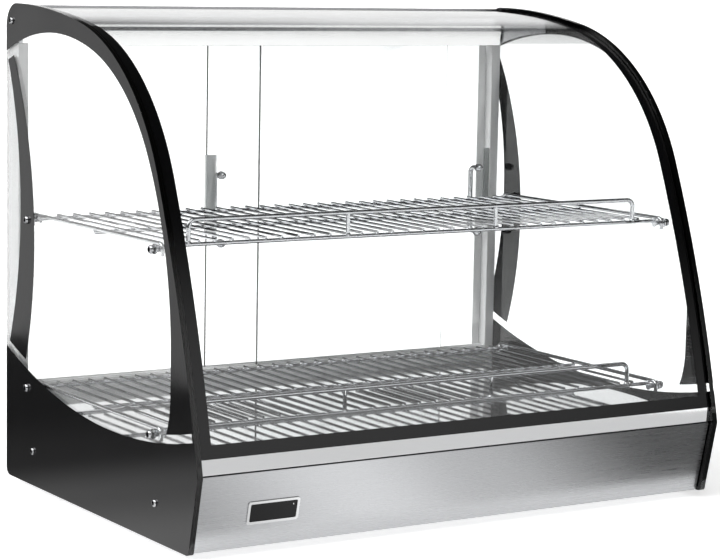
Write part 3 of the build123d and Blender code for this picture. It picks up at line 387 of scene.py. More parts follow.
class Workpiece:
    """A mesh on the bench: it is shaped with bmesh operators, then finished as a piece."""

    def __init__(self) -> None:
        """Start an empty bench mesh."""
        self.bm = bmesh.new()

    def place(self, verts: Iterable[bmesh.types.BMVert], matrix: Matrix) -> None:
        """Move some vertices by a matrix."""
        bmesh.ops.transform(self.bm, matrix=matrix, verts=list(verts))

    @contextmanager
    def standing(self, matrix: Matrix) -> Iterator[None]:
        """Stand all that is made within the block at a place."""
        before = set(self.bm.verts)
        yield
        self.place([v for v in self.bm.verts if v not in before], matrix)

    def copy_node(self, node: str) -> None:
        """Take in a copy of a CAD node, its loose triangles merged into whole faces."""
        self.bm.from_mesh(frame["nodes"][node].data)
        bmesh.ops.remove_doubles(self.bm, verts=self.bm.verts, dist=SAME_SPOT)
        bmesh.ops.dissolve_limit(self.bm, angle_limit=math.radians(FLAT_ANGLE), verts=self.bm.verts,
                                 edges=self.bm.edges, delimit={"NORMAL"})

    def break_edges(self, width: float, steps: int = 2) -> None:
        """Bevel every sharp edge."""
        limit = math.radians(SHARP_EDGE)
        sharp = [e for e in self.bm.edges if len(e.link_faces) == 2 and e.calc_face_angle(0.0) > limit]
        bmesh.ops.bevel(self.bm, geom=sharp, offset=width, offset_type="OFFSET", affect="EDGES",
                        segments=steps, profile=0.5, material=-1, clamp_overlap=True)

    def turned(self, profile: list[tuple[float, float]], matrix: Matrix, sides: int = 32) -> None:
        """Turn a profile on the lathe.

        Args:
            profile: Radius and height of each point, in metres, from one end to the other.
            matrix: Places the lathe's axis, which is +Z.
            sides: How many flats the turn has.
        """
        verts = [self.bm.verts.new((radius, 0.0, height)) for radius, height in profile]
        edges = [self.bm.edges.new(pair) for pair in zip(verts, verts[1:])]
        before = set(self.bm.verts) - set(verts)
        bmesh.ops.spin(self.bm, geom=verts + edges, cent=(0, 0, 0), axis=(0, 0, 1), angle=math.tau,
                       steps=sides, use_merge=True)
        made = [v for v in self.bm.verts if v not in before]
        bmesh.ops.remove_doubles(self.bm, verts=made, dist=0.001 * MM)
        self.place([v for v in self.bm.verts if v not in before], matrix)

    def block(self, low: Vector, high: Vector, edge: float = 0.0, steps: int = 2) -> None:
        """Add a box between two corners, its edges rounded by a radius."""
        made = bmesh.ops.create_cube(self.bm, size=1.0)["verts"]
        size = high - low
        self.place(made, Matrix.Translation((low + high) / 2) @ Matrix.Diagonal((*size, 1.0)))
        if edge:
            edges = list({e for v in made for e in v.link_edges})
            bmesh.ops.bevel(self.bm, geom=edges, offset=edge, offset_type="OFFSET", affect="EDGES",
                            segments=steps, profile=0.5, material=-1)

    def finish(self, name: str, finish: Finish, turn_out: bool = True) -> bpy.types.Object:
        """Close the bench mesh into a piece.

        Args:
            name: Name of the piece.
            finish: Its finish.
            turn_out: Whether to point the faces outwards first.

        Returns:
            The new object.
        """
        if turn_out:
            bmesh.ops.recalc_face_normals(self.bm, faces=self.bm.faces)
        mesh = bpy.data.meshes.new(name)
        self.bm.to_mesh(mesh)
        self.bm.free()
        mesh.shade_smooth()
        mesh.set_sharp_from_angle(angle=math.radians(CRISP_EDGE))
        mesh.materials.append(finish.material())
        piece = bpy.data.objects.new(name, mesh)
        bpy.context.scene.collection.objects.link(piece)
        return piece


class BentWire:
    """A round wire drawn through a bending machine: straight runs and bends."""

    def __init__(self, bench: Workpiece, start: Vector, heading: Vector, radius: float,
                 sides: int = 14) -> None:
        """Start the wire with a round end face.

        Args:
            bench: Workpiece that gets the wire.
            start: Middle of the first end.
            heading: Where the wire goes first.
            radius: Radius of the wire.
            sides: How many flats the round has.
        """
        self.bm, self.spot, self.heading, self.radius = bench.bm, start.copy(), heading.normalized(), radius
        verts = bmesh.ops.create_circle(self.bm, cap_ends=True, radius=radius, segments=sides)["verts"]
        bench.place(verts, stand_at(start, self.heading))
        self.face = verts[0].link_faces[0]

    def take_end(self, geometry: list) -> list[bmesh.types.BMVert]:
        """Note the new end face, and return its vertices."""
        self.face = next(g for g in geometry if isinstance(g, bmesh.types.BMFace))
        return list(self.face.verts)

    def run(self, length: float) -> "BentWire":
        """Draw the wire straight on by a length."""
        verts = self.take_end(bmesh.ops.extrude_face_region(self.bm, geom=[self.face])["geom"])
        bmesh.ops.translate(self.bm, vec=self.heading * length, verts=verts)
        self.spot += self.heading * length
        return self

    def bend(self, toward: Vector, radius: float, degrees: float = 90.0, steps: int = 6) -> "BentWire":
        """Bend the wire towards a side, about a centre that lies a radius away."""
        centre = self.spot + toward.normalized() * radius
        axis = self.heading.cross(toward).normalized()
        angle = math.radians(degrees)
        last = bmesh.ops.spin(self.bm, geom=[self.face], cent=centre, axis=axis, angle=angle, steps=steps)
        self.take_end(last["geom_last"])
        turn = Matrix.Rotation(angle, 3, axis)
        self.heading = turn @ self.heading
        self.spot = centre + turn @ (self.spot - centre)
        return self

    def dome(self) -> "BentWire":
        """Round the end off, as a tumbled wire is."""
        for share, rise in ((0.3, 0.12), (0.4, 0.08)):
            bmesh.ops.inset_region(self.bm, faces=[self.face], thickness=self.radius * share,
                                   depth=self.radius * rise)
        return self


def settle(piece: bpy.types.Object, *nodes: str) -> bpy.types.Object:
    """Let a piece ride with the CAD nodes that it stands for, and hide them.

    Args:
        piece: The new piece.
        nodes: CAD nodes that it replaces, the first of which gives the body.

    Returns:
        The same piece.
    """
    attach(piece, body_of(nodes[0]))
    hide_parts(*nodes)
    LOG.info("%s stands for %s", piece.name, ", ".join(nodes))
    return piece


def mark(piece: bpy.types.Object, body: str) -> bpy.types.Object:
    """Let an added piece ride on a body without replacing a node."""
    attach(piece, body)
    LOG.info("%s added on %s", piece.name, body)
    return piece


def dress(finish: Finish, *nodes: str) -> None:
    """Give CAD nodes that stay as they are their finish."""
    for node in nodes:
        for slot in frame["nodes"][node].material_slots:
            slot.material = finish.material()
        LOG.info("%s keeps its shape, in %s", node, finish.name)


def softened(node: str, finish: Finish, edge: float, steps: int = 2,
             suffix: str = "made") -> bpy.types.Object:
    """Make a CAD node again with its sharp edges broken.

    Args:
        node: The CAD node.
        finish: Finish of the new piece.
        edge: Width of the broken edge, in metres.
        steps: Facets across it.
        suffix: Last word of the piece's name.

    Returns:
        The new piece.
    """
    bench = Workpiece()
    bench.copy_node(node)
    bench.break_edges(edge, steps)
    piece = bench.finish(f"{node}_{suffix}", finish, turn_out=False)
    flat = piece.modifiers.new("flat_faces_rule", "WEIGHTED_NORMAL")
    flat.weight, flat.keep_sharp = 100, True
    return settle(piece, node)


# ------------------------------------------------------------------ glasshouse
@dataclass
class Glasshouse:
    """Side glasses, curved front glass, their print and their seals."""

    arris: float = 0.7 * MM

    def build(self) -> None:
        """Grind the arrises and lay the print."""
        for side in ("left", "right"):
            softened(f"{side}_side_glass", TOUGHENED_GLASS, self.arris, suffix="pane")
        softened("front_glass", TOUGHENED_GLASS, self.arris, suffix="pane")
        dress(FIRED_ENAMEL, "left_side_print", "right_side_print", "front_glass_print")
        dress(BLACK_RUBBER, "front_glass_side_seals", "front_glass_foot_seal")


# ------------------------------------------------------------------ base
@dataclass
class Base:
    """Folded base, deck, front panels, feet and what hangs under the deck."""

    fold: float = 0.5 * MM
    foot_ribs: int = 3
    foot_radius: float = 15.5 * MM
    foot_waist: float = 13.0 * MM
    foot_crown: float = 12.8 * MM
    sole_height: float = 1.6 * MM
    rib_room: float = 2.6 * MM
    rib_relief: float = 0.5 * MM
    # radius and height round the hollow and the sole, in millimetres
    sole: tuple[tuple[float, float], ...] = ((0.0, 4.5), (3.6, 4.5), (3.6, 0.6), (4.2, 0.0), (13.4, 0.0),
                                             (15.0, 0.5), (15.5, 1.6))
    # share of the pitch, and share of the relief, round one rib
    rib: tuple[tuple[float, float], ...] = ((0.35, 0.0), (0.5, 1.0), (0.8, 1.0), (0.95, 0.0))

    def build(self) -> None:
        """Build the base from the feet up."""
        softened("lower_front_panel", BRUSHED_STAINLESS, self.fold)
        softened("upper_front_strip", BRIGHT_STAINLESS, self.fold)
        softened("deck", BRIGHT_STAINLESS, self.fold)
        softened("rear_panel", BRUSHED_STAINLESS, self.fold / 2)
        dress(SATIN_STAINLESS, "base_chassis")
        dress(BLACK_RUBBER, "front_seam_gasket")
        dress(HEATER_SHEATH, "heating_element")
        dress(SATIN_STAINLESS, "heater_clips")
        dress(TURNED_STAINLESS, "foot_screws", "foot_nuts", "base_nuts")
        self.feet()

    def feet(self) -> None:
        """Mould the four feet, with ribs round their skirts and a hollow for the screw."""
        low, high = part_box("rubber_feet")
        radius, height = self.foot_radius, high.z - low.z
        bench = Workpiece()
        profile = [(across * MM, rise * MM) for across, rise in self.sole]
        taper = (radius - self.foot_waist) / (height - self.sole_height)
        pitch = (height - self.rib_room) / self.foot_ribs
        for index in range(self.foot_ribs):
            start = self.sole_height + pitch * index
            for rise, share in self.rib:
                z = start + pitch * rise
                profile.append((radius - taper * (z - self.sole_height) - share * self.rib_relief, z))
        profile += [(self.foot_crown, height), (0.0, height)]
        for x in (low.x + radius, high.x - radius):
            for y in (low.y + radius, high.y - radius):
                bench.turned(profile, Matrix.Translation((x, y, low.z)), sides=40)
        settle(bench.finish("ribbed_rubber_feet", BLACK_RUBBER), "rubber_feet")


# ------------------------------------------------------------------ display
@dataclass
class Display:
    """Snap-in temperature display of the front panel."""

    lamp_radius: float = 0.7 * MM
    lamp_depth: float = 1.2 * MM
    lamp_from_right: float = 4.0 * MM
    lamp_from_top: float = 4.5 * MM
    lamp_from_front: float = 0.9 * MM

    def build(self) -> None:
        """Build the bezel, the window and its small pilot lamp."""
        softened("controller_bezel", PLATED_ABS, 0.45 * MM, steps=3)
        softened("controller_display", SMOKED_ACRYLIC, 0.25 * MM)
        dress(BLACK_ABS, "controller_body")
        self.pilot_lamp()

    def pilot_lamp(self) -> None:
        """Set a small white lamp in the window's upper right corner."""
        low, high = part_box("controller_display")
        lean = math.atan2(high.y - low.y, high.z - low.z)
        bench = Workpiece()
        spot = Vector((high.x - self.lamp_from_right, low.y + self.lamp_from_front,
                       high.z - self.lamp_from_top))
        facing = Vector((0.0, -math.cos(lean), -math.sin(lean)))
        rim = self.lamp_radius
        bench.turned([(0.0, 0.5 * MM), (rim * 0.6, 0.4 * MM), (rim, 0.0),
                      (rim, -self.lamp_depth), (0.0, -self.lamp_depth)],
                     stand_at(spot, facing), sides=16)
        mark(bench.finish("display_pilot_lamp", WHITE_MARKING), "case")


# ------------------------------------------------------------------ rear frame
@dataclass
class RearFrame:
    """Posts, tracks, hood and light strip."""

    fold: float = 0.5 * MM
    lens_edge: float = 0.6 * MM

    def build(self) -> None:
        """Build the frame that the doors run in."""
        for side in ("left", "right"):
            softened(f"{side}_rear_post", ANODISED_UPRIGHT, self.fold)
        softened("lower_door_track", ANODISED_ACROSS, 0.35 * MM)
        softened("upper_door_track", ANODISED_ACROSS, 0.35 * MM)
        softened("rear_hood", SATIN_STAINLESS, self.fold)
        softened("hood_end_plates", SATIN_STAINLESS, 0.3 * MM)
        softened("lamp_diffuser", OPAL_LENS, self.lens_edge, steps=3)
        dress(WHITE_BOARD, "lamp_board")
        dress(TURNED_STAINLESS, "hood_end_blocks")


# ------------------------------------------------------------------ fasteners
@dataclass(frozen=True)
class HexSocketScrew:
    """Domed cap screw with a hexagon socket."""

    radius: float
    height: float
    across: float = 3.0 * MM
    depth: float = 1.7 * MM
    sides: int = 36
    undercut: float = 0.94     # shares of the head's radius, or of its socket
    drill: float = 0.12
    dome: tuple[tuple[float, float], ...] = ((1.0, 0.12), (1.0, 0.45), (0.93, 0.72), (0.78, 0.92),
                                             (0.6, 1.0))

    def head(self, bench: Workpiece, seat: Vector, facing: Vector) -> None:
        """Form the head: a dome with a hexagonal recess.

        Args:
            bench: Workpiece that gets the screw.
            seat: Middle of the face that the head sits on.
            facing: Where the head points.
        """
        with bench.standing(stand_at(seat, facing)):
            rim = bmesh.ops.create_circle(bench.bm, cap_ends=True, radius=self.radius * self.undercut,
                                          segments=self.sides)["verts"]
            face = rim[0].link_faces[0]
            for share, rise in self.dome:
                face = self.step(bench, face, self.radius * share, self.height * rise)
            face = self.step(bench, face, self.across / math.sqrt(3), self.height)
            for vert in face.verts:
                self.to_hexagon(vert)
            face = self.step(bench, face, None, self.height - self.depth)
            centre = bmesh.ops.poke(bench.bm, faces=[face])["verts"][0]
            centre.co.z -= self.across * self.drill

    def step(self, bench: Workpiece, face: bmesh.types.BMFace, radius: float | None,
             height: float) -> bmesh.types.BMFace:
        """Draw the end face to a new radius, or its own, at a new height."""
        made = bmesh.ops.extrude_face_region(bench.bm, geom=[face])["geom"]
        face = next(g for g in made if isinstance(g, bmesh.types.BMFace))
        for vert in face.verts:
            if radius is not None:
                vert.co.xy = vert.co.xy.normalized() * radius
            vert.co.z = height
        return face

    def to_hexagon(self, vert: bmesh.types.BMVert) -> None:
        """Move a vertex out to the flats of the socket."""
        sector = math.pi / 3
        angle = math.atan2(vert.co.y, vert.co.x) % sector - sector / 2
        vert.co.xy = vert.co.xy.normalized() * (self.across / 2 / math.cos(angle))


@dataclass
class Fasteners:
    """Side screws, stud screws and the studs that carry the racks."""

    side_radius: float = 4.0 * MM
    side_height: float = 2.5 * MM
    stud_radius: float = 4.5 * MM
    stud_height: float = 3.4 * MM
    thread: float = 2.4 * MM
    side_shank: float = 17.4 * MM
    stud_shank: float = 14.6 * MM
    tip_height: float = 0.8 * MM
    tip_bevel: float = 0.6 * MM

    def build(self) -> None:
        """Make the screws again, shanks and all, where the CAD heads are."""
        self.screws("side_screws", HexSocketScrew(self.side_radius, self.side_height), self.side_shank)
        self.screws("rack_stud_screws", HexSocketScrew(self.stud_radius, self.stud_height), self.stud_shank)
        softened("rack_studs", TURNED_STAINLESS, 0.4 * MM, steps=3)

    def screws(self, node: str, screw: HexSocketScrew, shank: float) -> None:
        """Set one screw in the place of each solid of a CAD node.

        Args:
            node: CAD node with the plain screws.
            screw: What their heads look like.
            shank: Length of the shank below the head.
        """
        bench = Workpiece()
        for low, high in islands(node):
            side = -1.0 if low.x < 0 else 1.0
            tip = low.x if side < 0 else high.x
            middle = (low + high) / 2
            seat = Vector((tip - side * screw.height, middle.y, middle.z))
            facing = Vector((side, 0.0, 0.0))
            screw.head(bench, seat, facing)
            inward = stand_at(seat, -facing)
            bench.turned([(0.0, 0.0), (self.thread, 0.0), (self.thread, shank - self.tip_height),
                          (self.thread - self.tip_bevel, shank), (0.0, shank)], inward, sides=20)
        settle(bench.finish(f"{node}_made", TURNED_STAINLESS), node)


def islands(node: str) -> list[tuple[Vector, Vector]]:
    """Return the box of each separate solid of a CAD node.

    Args:
        node: The CAD node.

    Returns:
        Lowest and highest corner of each solid.
    """
    bm = bmesh.new()
    bm.from_mesh(frame["nodes"][node].data)
    bmesh.ops.remove_doubles(bm, verts=bm.verts, dist=SAME_SPOT)
    waiting, boxes = set(bm.verts), []
    while waiting:
        group, edge = set(), [next(iter(waiting))]
        while edge:
            vert = edge.pop()
            if vert in group:
                continue
            group.add(vert)
            edge += [e.other_vert(vert) for e in vert.link_edges]
        waiting -= group
        low = Vector(min(v.co[axis] for v in group) for axis in range(3))
        high = Vector(max(v.co[axis] for v in group) for axis in range(3))
        boxes.append((low, high))
    bm.free()
    return sorted(boxes, key=lambda pair: tuple(pair[0]))


# ------------------------------------------------------------------ racks
@dataclass
class WireRack:
    """Welded wire rack with its guard rail."""

    name: str
    rail: float = 2.2 * MM
    cross: float = 2.2 * MM
    grid: float = 1.5 * MM
    pitch: float = 19.5 * MM
    bend: float = 5.5 * MM
    weld: float = 0.2 * MM
    cross_back: float = 8.5 * MM
    overhang: float = 1.5 * MM
    guard: float = 2.5 * MM
    guard_bend: float = 8.0 * MM
    weld_radius: float = 1.9 * MM
    rail_weld: float = 1.3     # welds at the side rails, as a share of those in the grid
    guard_weld: float = 1.55   # and at the foot of the guard rail

    def build(self) -> None:
        """Bend and weld the rack, then its guard rail."""
        low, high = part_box(self.name)
        rail_z = high.z - self.rail
        rail_x = high.x - self.rail
        front, back = low.y + self.rail, high.y - self.rail
        cross_z = rail_z - self.rail - self.cross + self.weld
        grid_z = cross_z + self.cross + self.grid - self.weld
        first, last = front + self.bend + self.cross_back, back - self.bend - self.cross_back
        bench = Workpiece()
        for x in (-rail_x, rail_x):
            self.side_rail(bench, x, front, back, low.z, rail_z)
        lines = (first, (first + last) / 2, last)
        for y in lines:
            BentWire(bench, Vector((-rail_x, y, cross_z)), Vector((1, 0, 0)), self.cross).run(2 * rail_x)
        count = int((rail_x - self.pitch * 0.75) // self.pitch)
        for index in range(-count, count + 1):
            x = index * self.pitch
            start = Vector((x, first - self.overhang, grid_z))
            wire = BentWire(bench, start, Vector((0, 1, 0)), self.grid, 10)
            wire.run(last - first + 2 * self.overhang).dome()
            for y in lines:
                self.nugget(bench, Vector((x, y, (cross_z + grid_z) / 2 + self.weld)))
        for x in (-rail_x, rail_x):
            for y in lines:
                self.nugget(bench, Vector((x, y, (rail_z + cross_z) / 2)), self.rail_weld)
        settle(bench.finish(f"{self.name}_wires", CHROME_WIRE), self.name)
        self.guard_rail(first, cross_z + self.cross)

    def side_rail(self, bench: Workpiece, x: float, front: float, back: float, foot: float,
                  top: float) -> None:
        """Bend one side rail, with a hook down behind each stud."""
        up, away, down = Vector((0, 0, 1)), Vector((0, 1, 0)), Vector((0, 0, -1))
        wire = BentWire(bench, Vector((x, front, foot)), up, self.rail, 16)
        wire.run(top - foot - self.bend).bend(away, self.bend).run(back - front - 2 * self.bend)
        wire.bend(down, self.bend).run(top - foot - self.bend).dome()

    def nugget(self, bench: Workpiece, spot: Vector, size: float = 1.0) -> None:
        """Add the small swelling of a resistance weld."""
        made = bmesh.ops.create_uvsphere(bench.bm, u_segments=8, v_segments=6,
                                         radius=self.weld_radius * size)["verts"]
        bench.place(made, Matrix.Translation(spot) @ Matrix.Diagonal((1.05, 1.15, 0.8, 1.0)))

    def guard_rail(self, line: float, seat: float) -> None:
        """Bend the guard rail and stand it on the front cross wire, on four legs."""
        node = f"{self.name}_guard"
        low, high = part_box(node)
        reach, top = high.x - self.guard, high.z - self.guard
        foot = seat - 0.6 * MM
        up, across, down = Vector((0, 0, 1)), Vector((1, 0, 0)), Vector((0, 0, -1))
        bench = Workpiece()
        wire = BentWire(bench, Vector((-reach, line, foot)), up, self.guard, 18)
        wire.run(top - foot - self.guard_bend).bend(across, self.guard_bend)
        wire.run(2 * (reach - self.guard_bend))
        wire.bend(down, self.guard_bend).run(top - foot - self.guard_bend)
        leg = self.guard - 0.3 * MM
        for x in (-reach / 3, reach / 3):
            BentWire(bench, Vector((x, line, foot)), up, leg, 16).run(top - foot)
        for x in (-reach, -reach / 3, reach / 3, reach):
            self.nugget(bench, Vector((x, line, seat + self.weld)), self.guard_weld)
        settle(bench.finish(f"{node}_bent", CHROME_WIRE), node)


# ------------------------------------------------------------------ doors
@dataclass
class SlidingDoor:
    """One glass door with its handle, nuts, guard and glides."""

    side: str
    rod: float = 3.2 * MM
    bend: float = 8.0 * MM
    nut_across: float = 8.0 * MM
    thread_pitch: float = 0.8 * MM
    thread_crest: float = 2.5 * MM
    thread_root: float = 2.1 * MM
    # radius and height, in millimetres
    collar: tuple[tuple[float, float], ...] = ((0.0, 0.0), (5.2, 0.0), (5.4, 0.3), (5.2, 1.2), (3.9, 1.6),
                                               (0.0, 1.6))
    washer: tuple[tuple[float, float], ...] = ((0.0, 0.0), (5.0, 0.0), (5.0, 0.7), (0.0, 0.7))
    nut_seat: float = 0.6 * MM
    nut_height: float = 2.4 * MM
    nut_edge: float = 0.35 * MM
    dome_radius: float = 3.7 * MM
    dome_foot: float = 2.9     # heights of the dome, in millimetres
    dome_rise: float = 2.6

    def build(self) -> None:
        """Build the pane and hang its fittings on it."""
        name = f"{self.side}_door"
        softened(f"{name}_glass", TOUGHENED_GLASS, 0.6 * MM, suffix="pane")
        softened(f"{name}_edge_guard", CLEAR_PVC, 0.3 * MM)
        softened(f"{name}_glides", NATURAL_NYLON, 0.4 * MM)
        pane_low, pane_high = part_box(f"{name}_glass")
        low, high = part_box(f"{name}_handle")
        legs = (low.z + self.rod, high.z - self.rod)
        x = (low.x + high.x) / 2
        self.handle(name, x, pane_high.y, high.y - self.rod, legs, low.y)
        self.nuts(name, x, pane_low.y, legs)

    def handle(self, name: str, x: float, face: float, bar: float, legs: tuple[float, float],
               tip: float) -> None:
        """Bend the handle, with a collar at each leg and a thread through the glass."""
        bench = Workpiece()
        out, up, back = Vector((0, 1, 0)), Vector((0, 0, 1)), Vector((0, -1, 0))
        low, high = legs
        wire = BentWire(bench, Vector((x, face, low)), out, self.rod, 24)
        wire.run(bar - face - self.bend).bend(up, self.bend, steps=10).run(high - low - 2 * self.bend)
        wire.bend(back, self.bend, steps=10).run(bar - face - self.bend)
        for z in legs:
            bench.turned([(across * MM, rise * MM) for across, rise in self.collar],
                         stand_at(Vector((x, face, z)), out), sides=32)
            thread = [(0.0, 0.0)]
            pitch, length = self.thread_pitch, face - tip
            for ring in range(int(length / pitch)):
                thread += [(self.thread_crest, pitch * (ring + 0.1)),
                           (self.thread_root, pitch * (ring + 0.6))]
            bench.turned([*thread, (self.thread_root, length), (0.0, length)],
                         stand_at(Vector((x, face, z)), back), sides=20)
        settle(bench.finish(f"{name}_handle_bent", TURNED_STAINLESS), f"{name}_handle")

    def nuts(self, name: str, x: float, face: float, legs: tuple[float, float]) -> None:
        """Form a dome nut with its washer on the inside of each leg."""
        bench = Workpiece()
        inward = Vector((0, -1, 0))
        for z in legs:
            seat = stand_at(Vector((x, face, z)), inward)
            bench.turned([(across * MM, rise * MM) for across, rise in self.washer], seat, sides=32)
            with bench.standing(seat @ Matrix.Translation((0, 0, self.nut_seat))):
                self.hexagon(bench)
            arc = [math.radians(step * 15) for step in range(7)]
            dome = [(self.dome_radius * math.cos(a), (self.dome_foot + self.dome_rise * math.sin(a)) * MM)
                    for a in arc]
            foot = [(0.0, 2.0 * MM), (self.dome_radius, 2.0 * MM)]
            bench.turned([*foot, *dome[:-1], (0.0, dome[-1][1])], seat, sides=32)
        settle(bench.finish(f"{name}_dome_nuts", TURNED_STAINLESS), f"{name}_handle_nuts")

    def hexagon(self, bench: Workpiece) -> None:
        """Form the hexagonal part of one nut at the origin, its edges broken."""
        before = set(bench.bm.verts)
        flat = bmesh.ops.create_circle(bench.bm, cap_ends=True, segments=6,
                                       radius=self.nut_across / math.sqrt(3))["verts"]
        made = bmesh.ops.extrude_face_region(bench.bm, geom=[flat[0].link_faces[0]])["geom"]
        top = [g for g in made if isinstance(g, bmesh.types.BMVert)]
        bmesh.ops.translate(bench.bm, vec=(0, 0, self.nut_height), verts=top)
        body = [v for v in bench.bm.verts if v not in before]
        edges = list({e for v in body for e in v.link_edges})
        bmesh.ops.bevel(bench.bm, geom=edges, offset=self.nut_edge, offset_type="OFFSET", affect="EDGES",
                        segments=2, profile=0.5, material=-1)


# ------------------------------------------------------------------ controls
@dataclass
class Controls:
    """Rear controls: two rockers, the thermostat knob with its dial, gland and inner works."""

    flutes: int = 24
    ticks: int = 11
    sweep: float = 270.0
    rocker_tilt: float = 9.0
    pivot_depth: float = 6.9 * MM
    mark_edge: float = 0.1 * MM
    # corners, middle, and radius and height of the rocker's two marks, in millimetres
    bar_mark: tuple[tuple[float, float, float], ...] = ((-0.45, 4.55, 3.6), (0.45, 4.95, 7.0))
    ring_middle: tuple[float, float, float] = (0.0, 4.55, -5.3)
    ring_mark: tuple[tuple[float, float], ...] = ((1.15, 0.0), (1.75, 0.0), (1.75, 0.4), (1.15, 0.4),
                                                  (1.15, 0.0))
    grip_width: float = 4.0 * MM
    grip_reach: float = 13.6 * MM
    grip_edge: float = 1.1 * MM
    pointer_width: float = 0.6 * MM
    pointer_from: float = 4.0 * MM
    pointer_to: float = 12.6 * MM
    tick_width: float = 0.4 * MM
    tick_outer: float = 24.4 * MM

    def build(self) -> None:
        """Build everything on and behind the rear panel."""
        for name in ("power", "lamp"):
            softened(f"{name}_switch_housing", BLACK_ABS, 0.4 * MM, steps=3)
            self.rocker(f"{name}_rocker")
        self.knob()
        self.dial()
        softened("cord_gland", BLACK_ABS, 0.5 * MM)
        dress(BLACK_ABS, "cord_gland_nut", "thermostat_body", "terminal_block")
        dress(TURNED_STAINLESS, "thermostat_shaft")

    def rocker(self, node: str) -> None:
        """Round a rocker's edges and print a plain bar and ring on its two ends."""
        softened(node, BLACK_ABS, 0.5 * MM, steps=3)
        low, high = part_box(node)
        middle = (low + high) / 2
        tilt = Matrix.Rotation(math.radians(self.rocker_tilt), 4, "X")
        hub = Matrix.Translation((middle.x, high.y - self.pivot_depth, middle.z)) @ tilt
        bench = Workpiece()
        with bench.standing(hub):
            bench.block(Vector(self.bar_mark[0]) * MM, Vector(self.bar_mark[1]) * MM, self.mark_edge)
            ring = [(across * MM, rise * MM) for across, rise in self.ring_mark]
            bench.turned(ring, stand_at(Vector(self.ring_middle) * MM, Vector((0, 1, 0))), sides=24)
        mark(bench.finish(f"{node}_marks", WHITE_MARKING), node)

    def knob(self) -> None:
        """Mould the knob: a fluted skirt, a raised grip and a white pointer."""
        low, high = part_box("thermostat_knob")
        centre = Vector(((low.x + high.x) / 2, low.y, (low.z + high.z) / 2))
        out = stand_at(centre, Vector((0, 1, 0)), "X")
        depth, skirt = high.y - low.y, (high.x - low.x) / 2
        bench = Workpiece()
        bench.turned([(0.0, 2.0 * MM), (12.0 * MM, 2.0 * MM), (12.0 * MM, 0.0), (skirt - 0.5 * MM, 0.0),
                      (skirt, 0.5 * MM), (skirt, 2.6 * MM), (skirt - 0.9 * MM, 3.5 * MM),
                      (15.0 * MM, 3.9 * MM), (14.6 * MM, 4.4 * MM),
                      (14.0 * MM, depth - 4.0 * MM), (13.0 * MM, depth - 3.1 * MM),
                      (0.0, depth - 3.1 * MM)], out, sides=self.flutes * 4)
        inverse = out.inverted()
        for vert in bench.bm.verts:
            local = inverse @ vert.co
            turn = math.atan2(local.y, local.x) * self.flutes
            if 14.2 * MM < local.xy.length < 14.9 * MM and math.cos(turn) < -0.5:
                local.xy *= 0.965
                vert.co = out @ local
        corner = Vector((self.grip_width, self.grip_reach, depth))
        with bench.standing(out):
            bench.block(Vector((-corner.x, -corner.y, depth - self.grip_width)), corner, self.grip_edge, 4)
        settle(bench.finish("thermostat_knob_moulded", BLACK_ABS), "thermostat_knob")
        line = Workpiece()
        line.block(Vector((-self.pointer_width, self.pointer_from, depth - 0.3 * MM)),
                   Vector((self.pointer_width, self.pointer_to, depth + 0.15 * MM)), self.mark_edge)
        line.place(line.bm.verts, self.dial_frame(centre))
        mark(line.finish("thermostat_pointer", WHITE_MARKING), "thermostat_knob")

    def dial_frame(self, centre: Vector) -> Matrix:
        """Return the frame of the dial: +Z out of the panel, +Y up."""
        return Matrix.Translation(centre) @ Matrix(((-1, 0, 0, 0), (0, 0, 1, 0), (0, 1, 0, 0), (0, 0, 0, 1)))

    def dial(self) -> None:
        """Lay plain tick marks, long and short, round the dial plate."""
        softened("thermostat_dial_plate", BLACK_DIAL, 0.2 * MM)
        low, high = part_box("thermostat_dial_plate")
        centre = Vector(((low.x + high.x) / 2, high.y, (low.z + high.z) / 2))
        bench = Workpiece()
        start = math.radians(self.sweep / 2)
        step = math.radians(self.sweep / (self.ticks - 1))
        for index in range(self.ticks):
            inner = (20.2 if index % 5 == 0 else 21.8) * MM
            turn = Matrix.Rotation(start - step * index, 4, "Z")
            with bench.standing(self.dial_frame(centre) @ turn):
                bench.block(Vector((-self.tick_width, inner, -0.1 * MM)),
                            Vector((self.tick_width, self.tick_outer, 0.12 * MM)))
        mark(bench.finish("dial_tick_marks", WHITE_MARKING), "case")


# ------------------------------------------------------------------ studio
@dataclass(frozen=True)
class Softbox:
    """A soft source or a dark flag of the studio, by where it stands."""

    azimuth: float
    elevation: float
    inner: float
    outer: float
    strength: float

    def direction(self) -> tuple[float, float, float]:
        """Return the unit vector to the middle of the source."""
        turn, rise = math.radians(self.azimuth), math.radians(self.elevation)
        return (math.sin(turn) * math.cos(rise), math.cos(turn) * math.cos(rise), math.sin(rise))


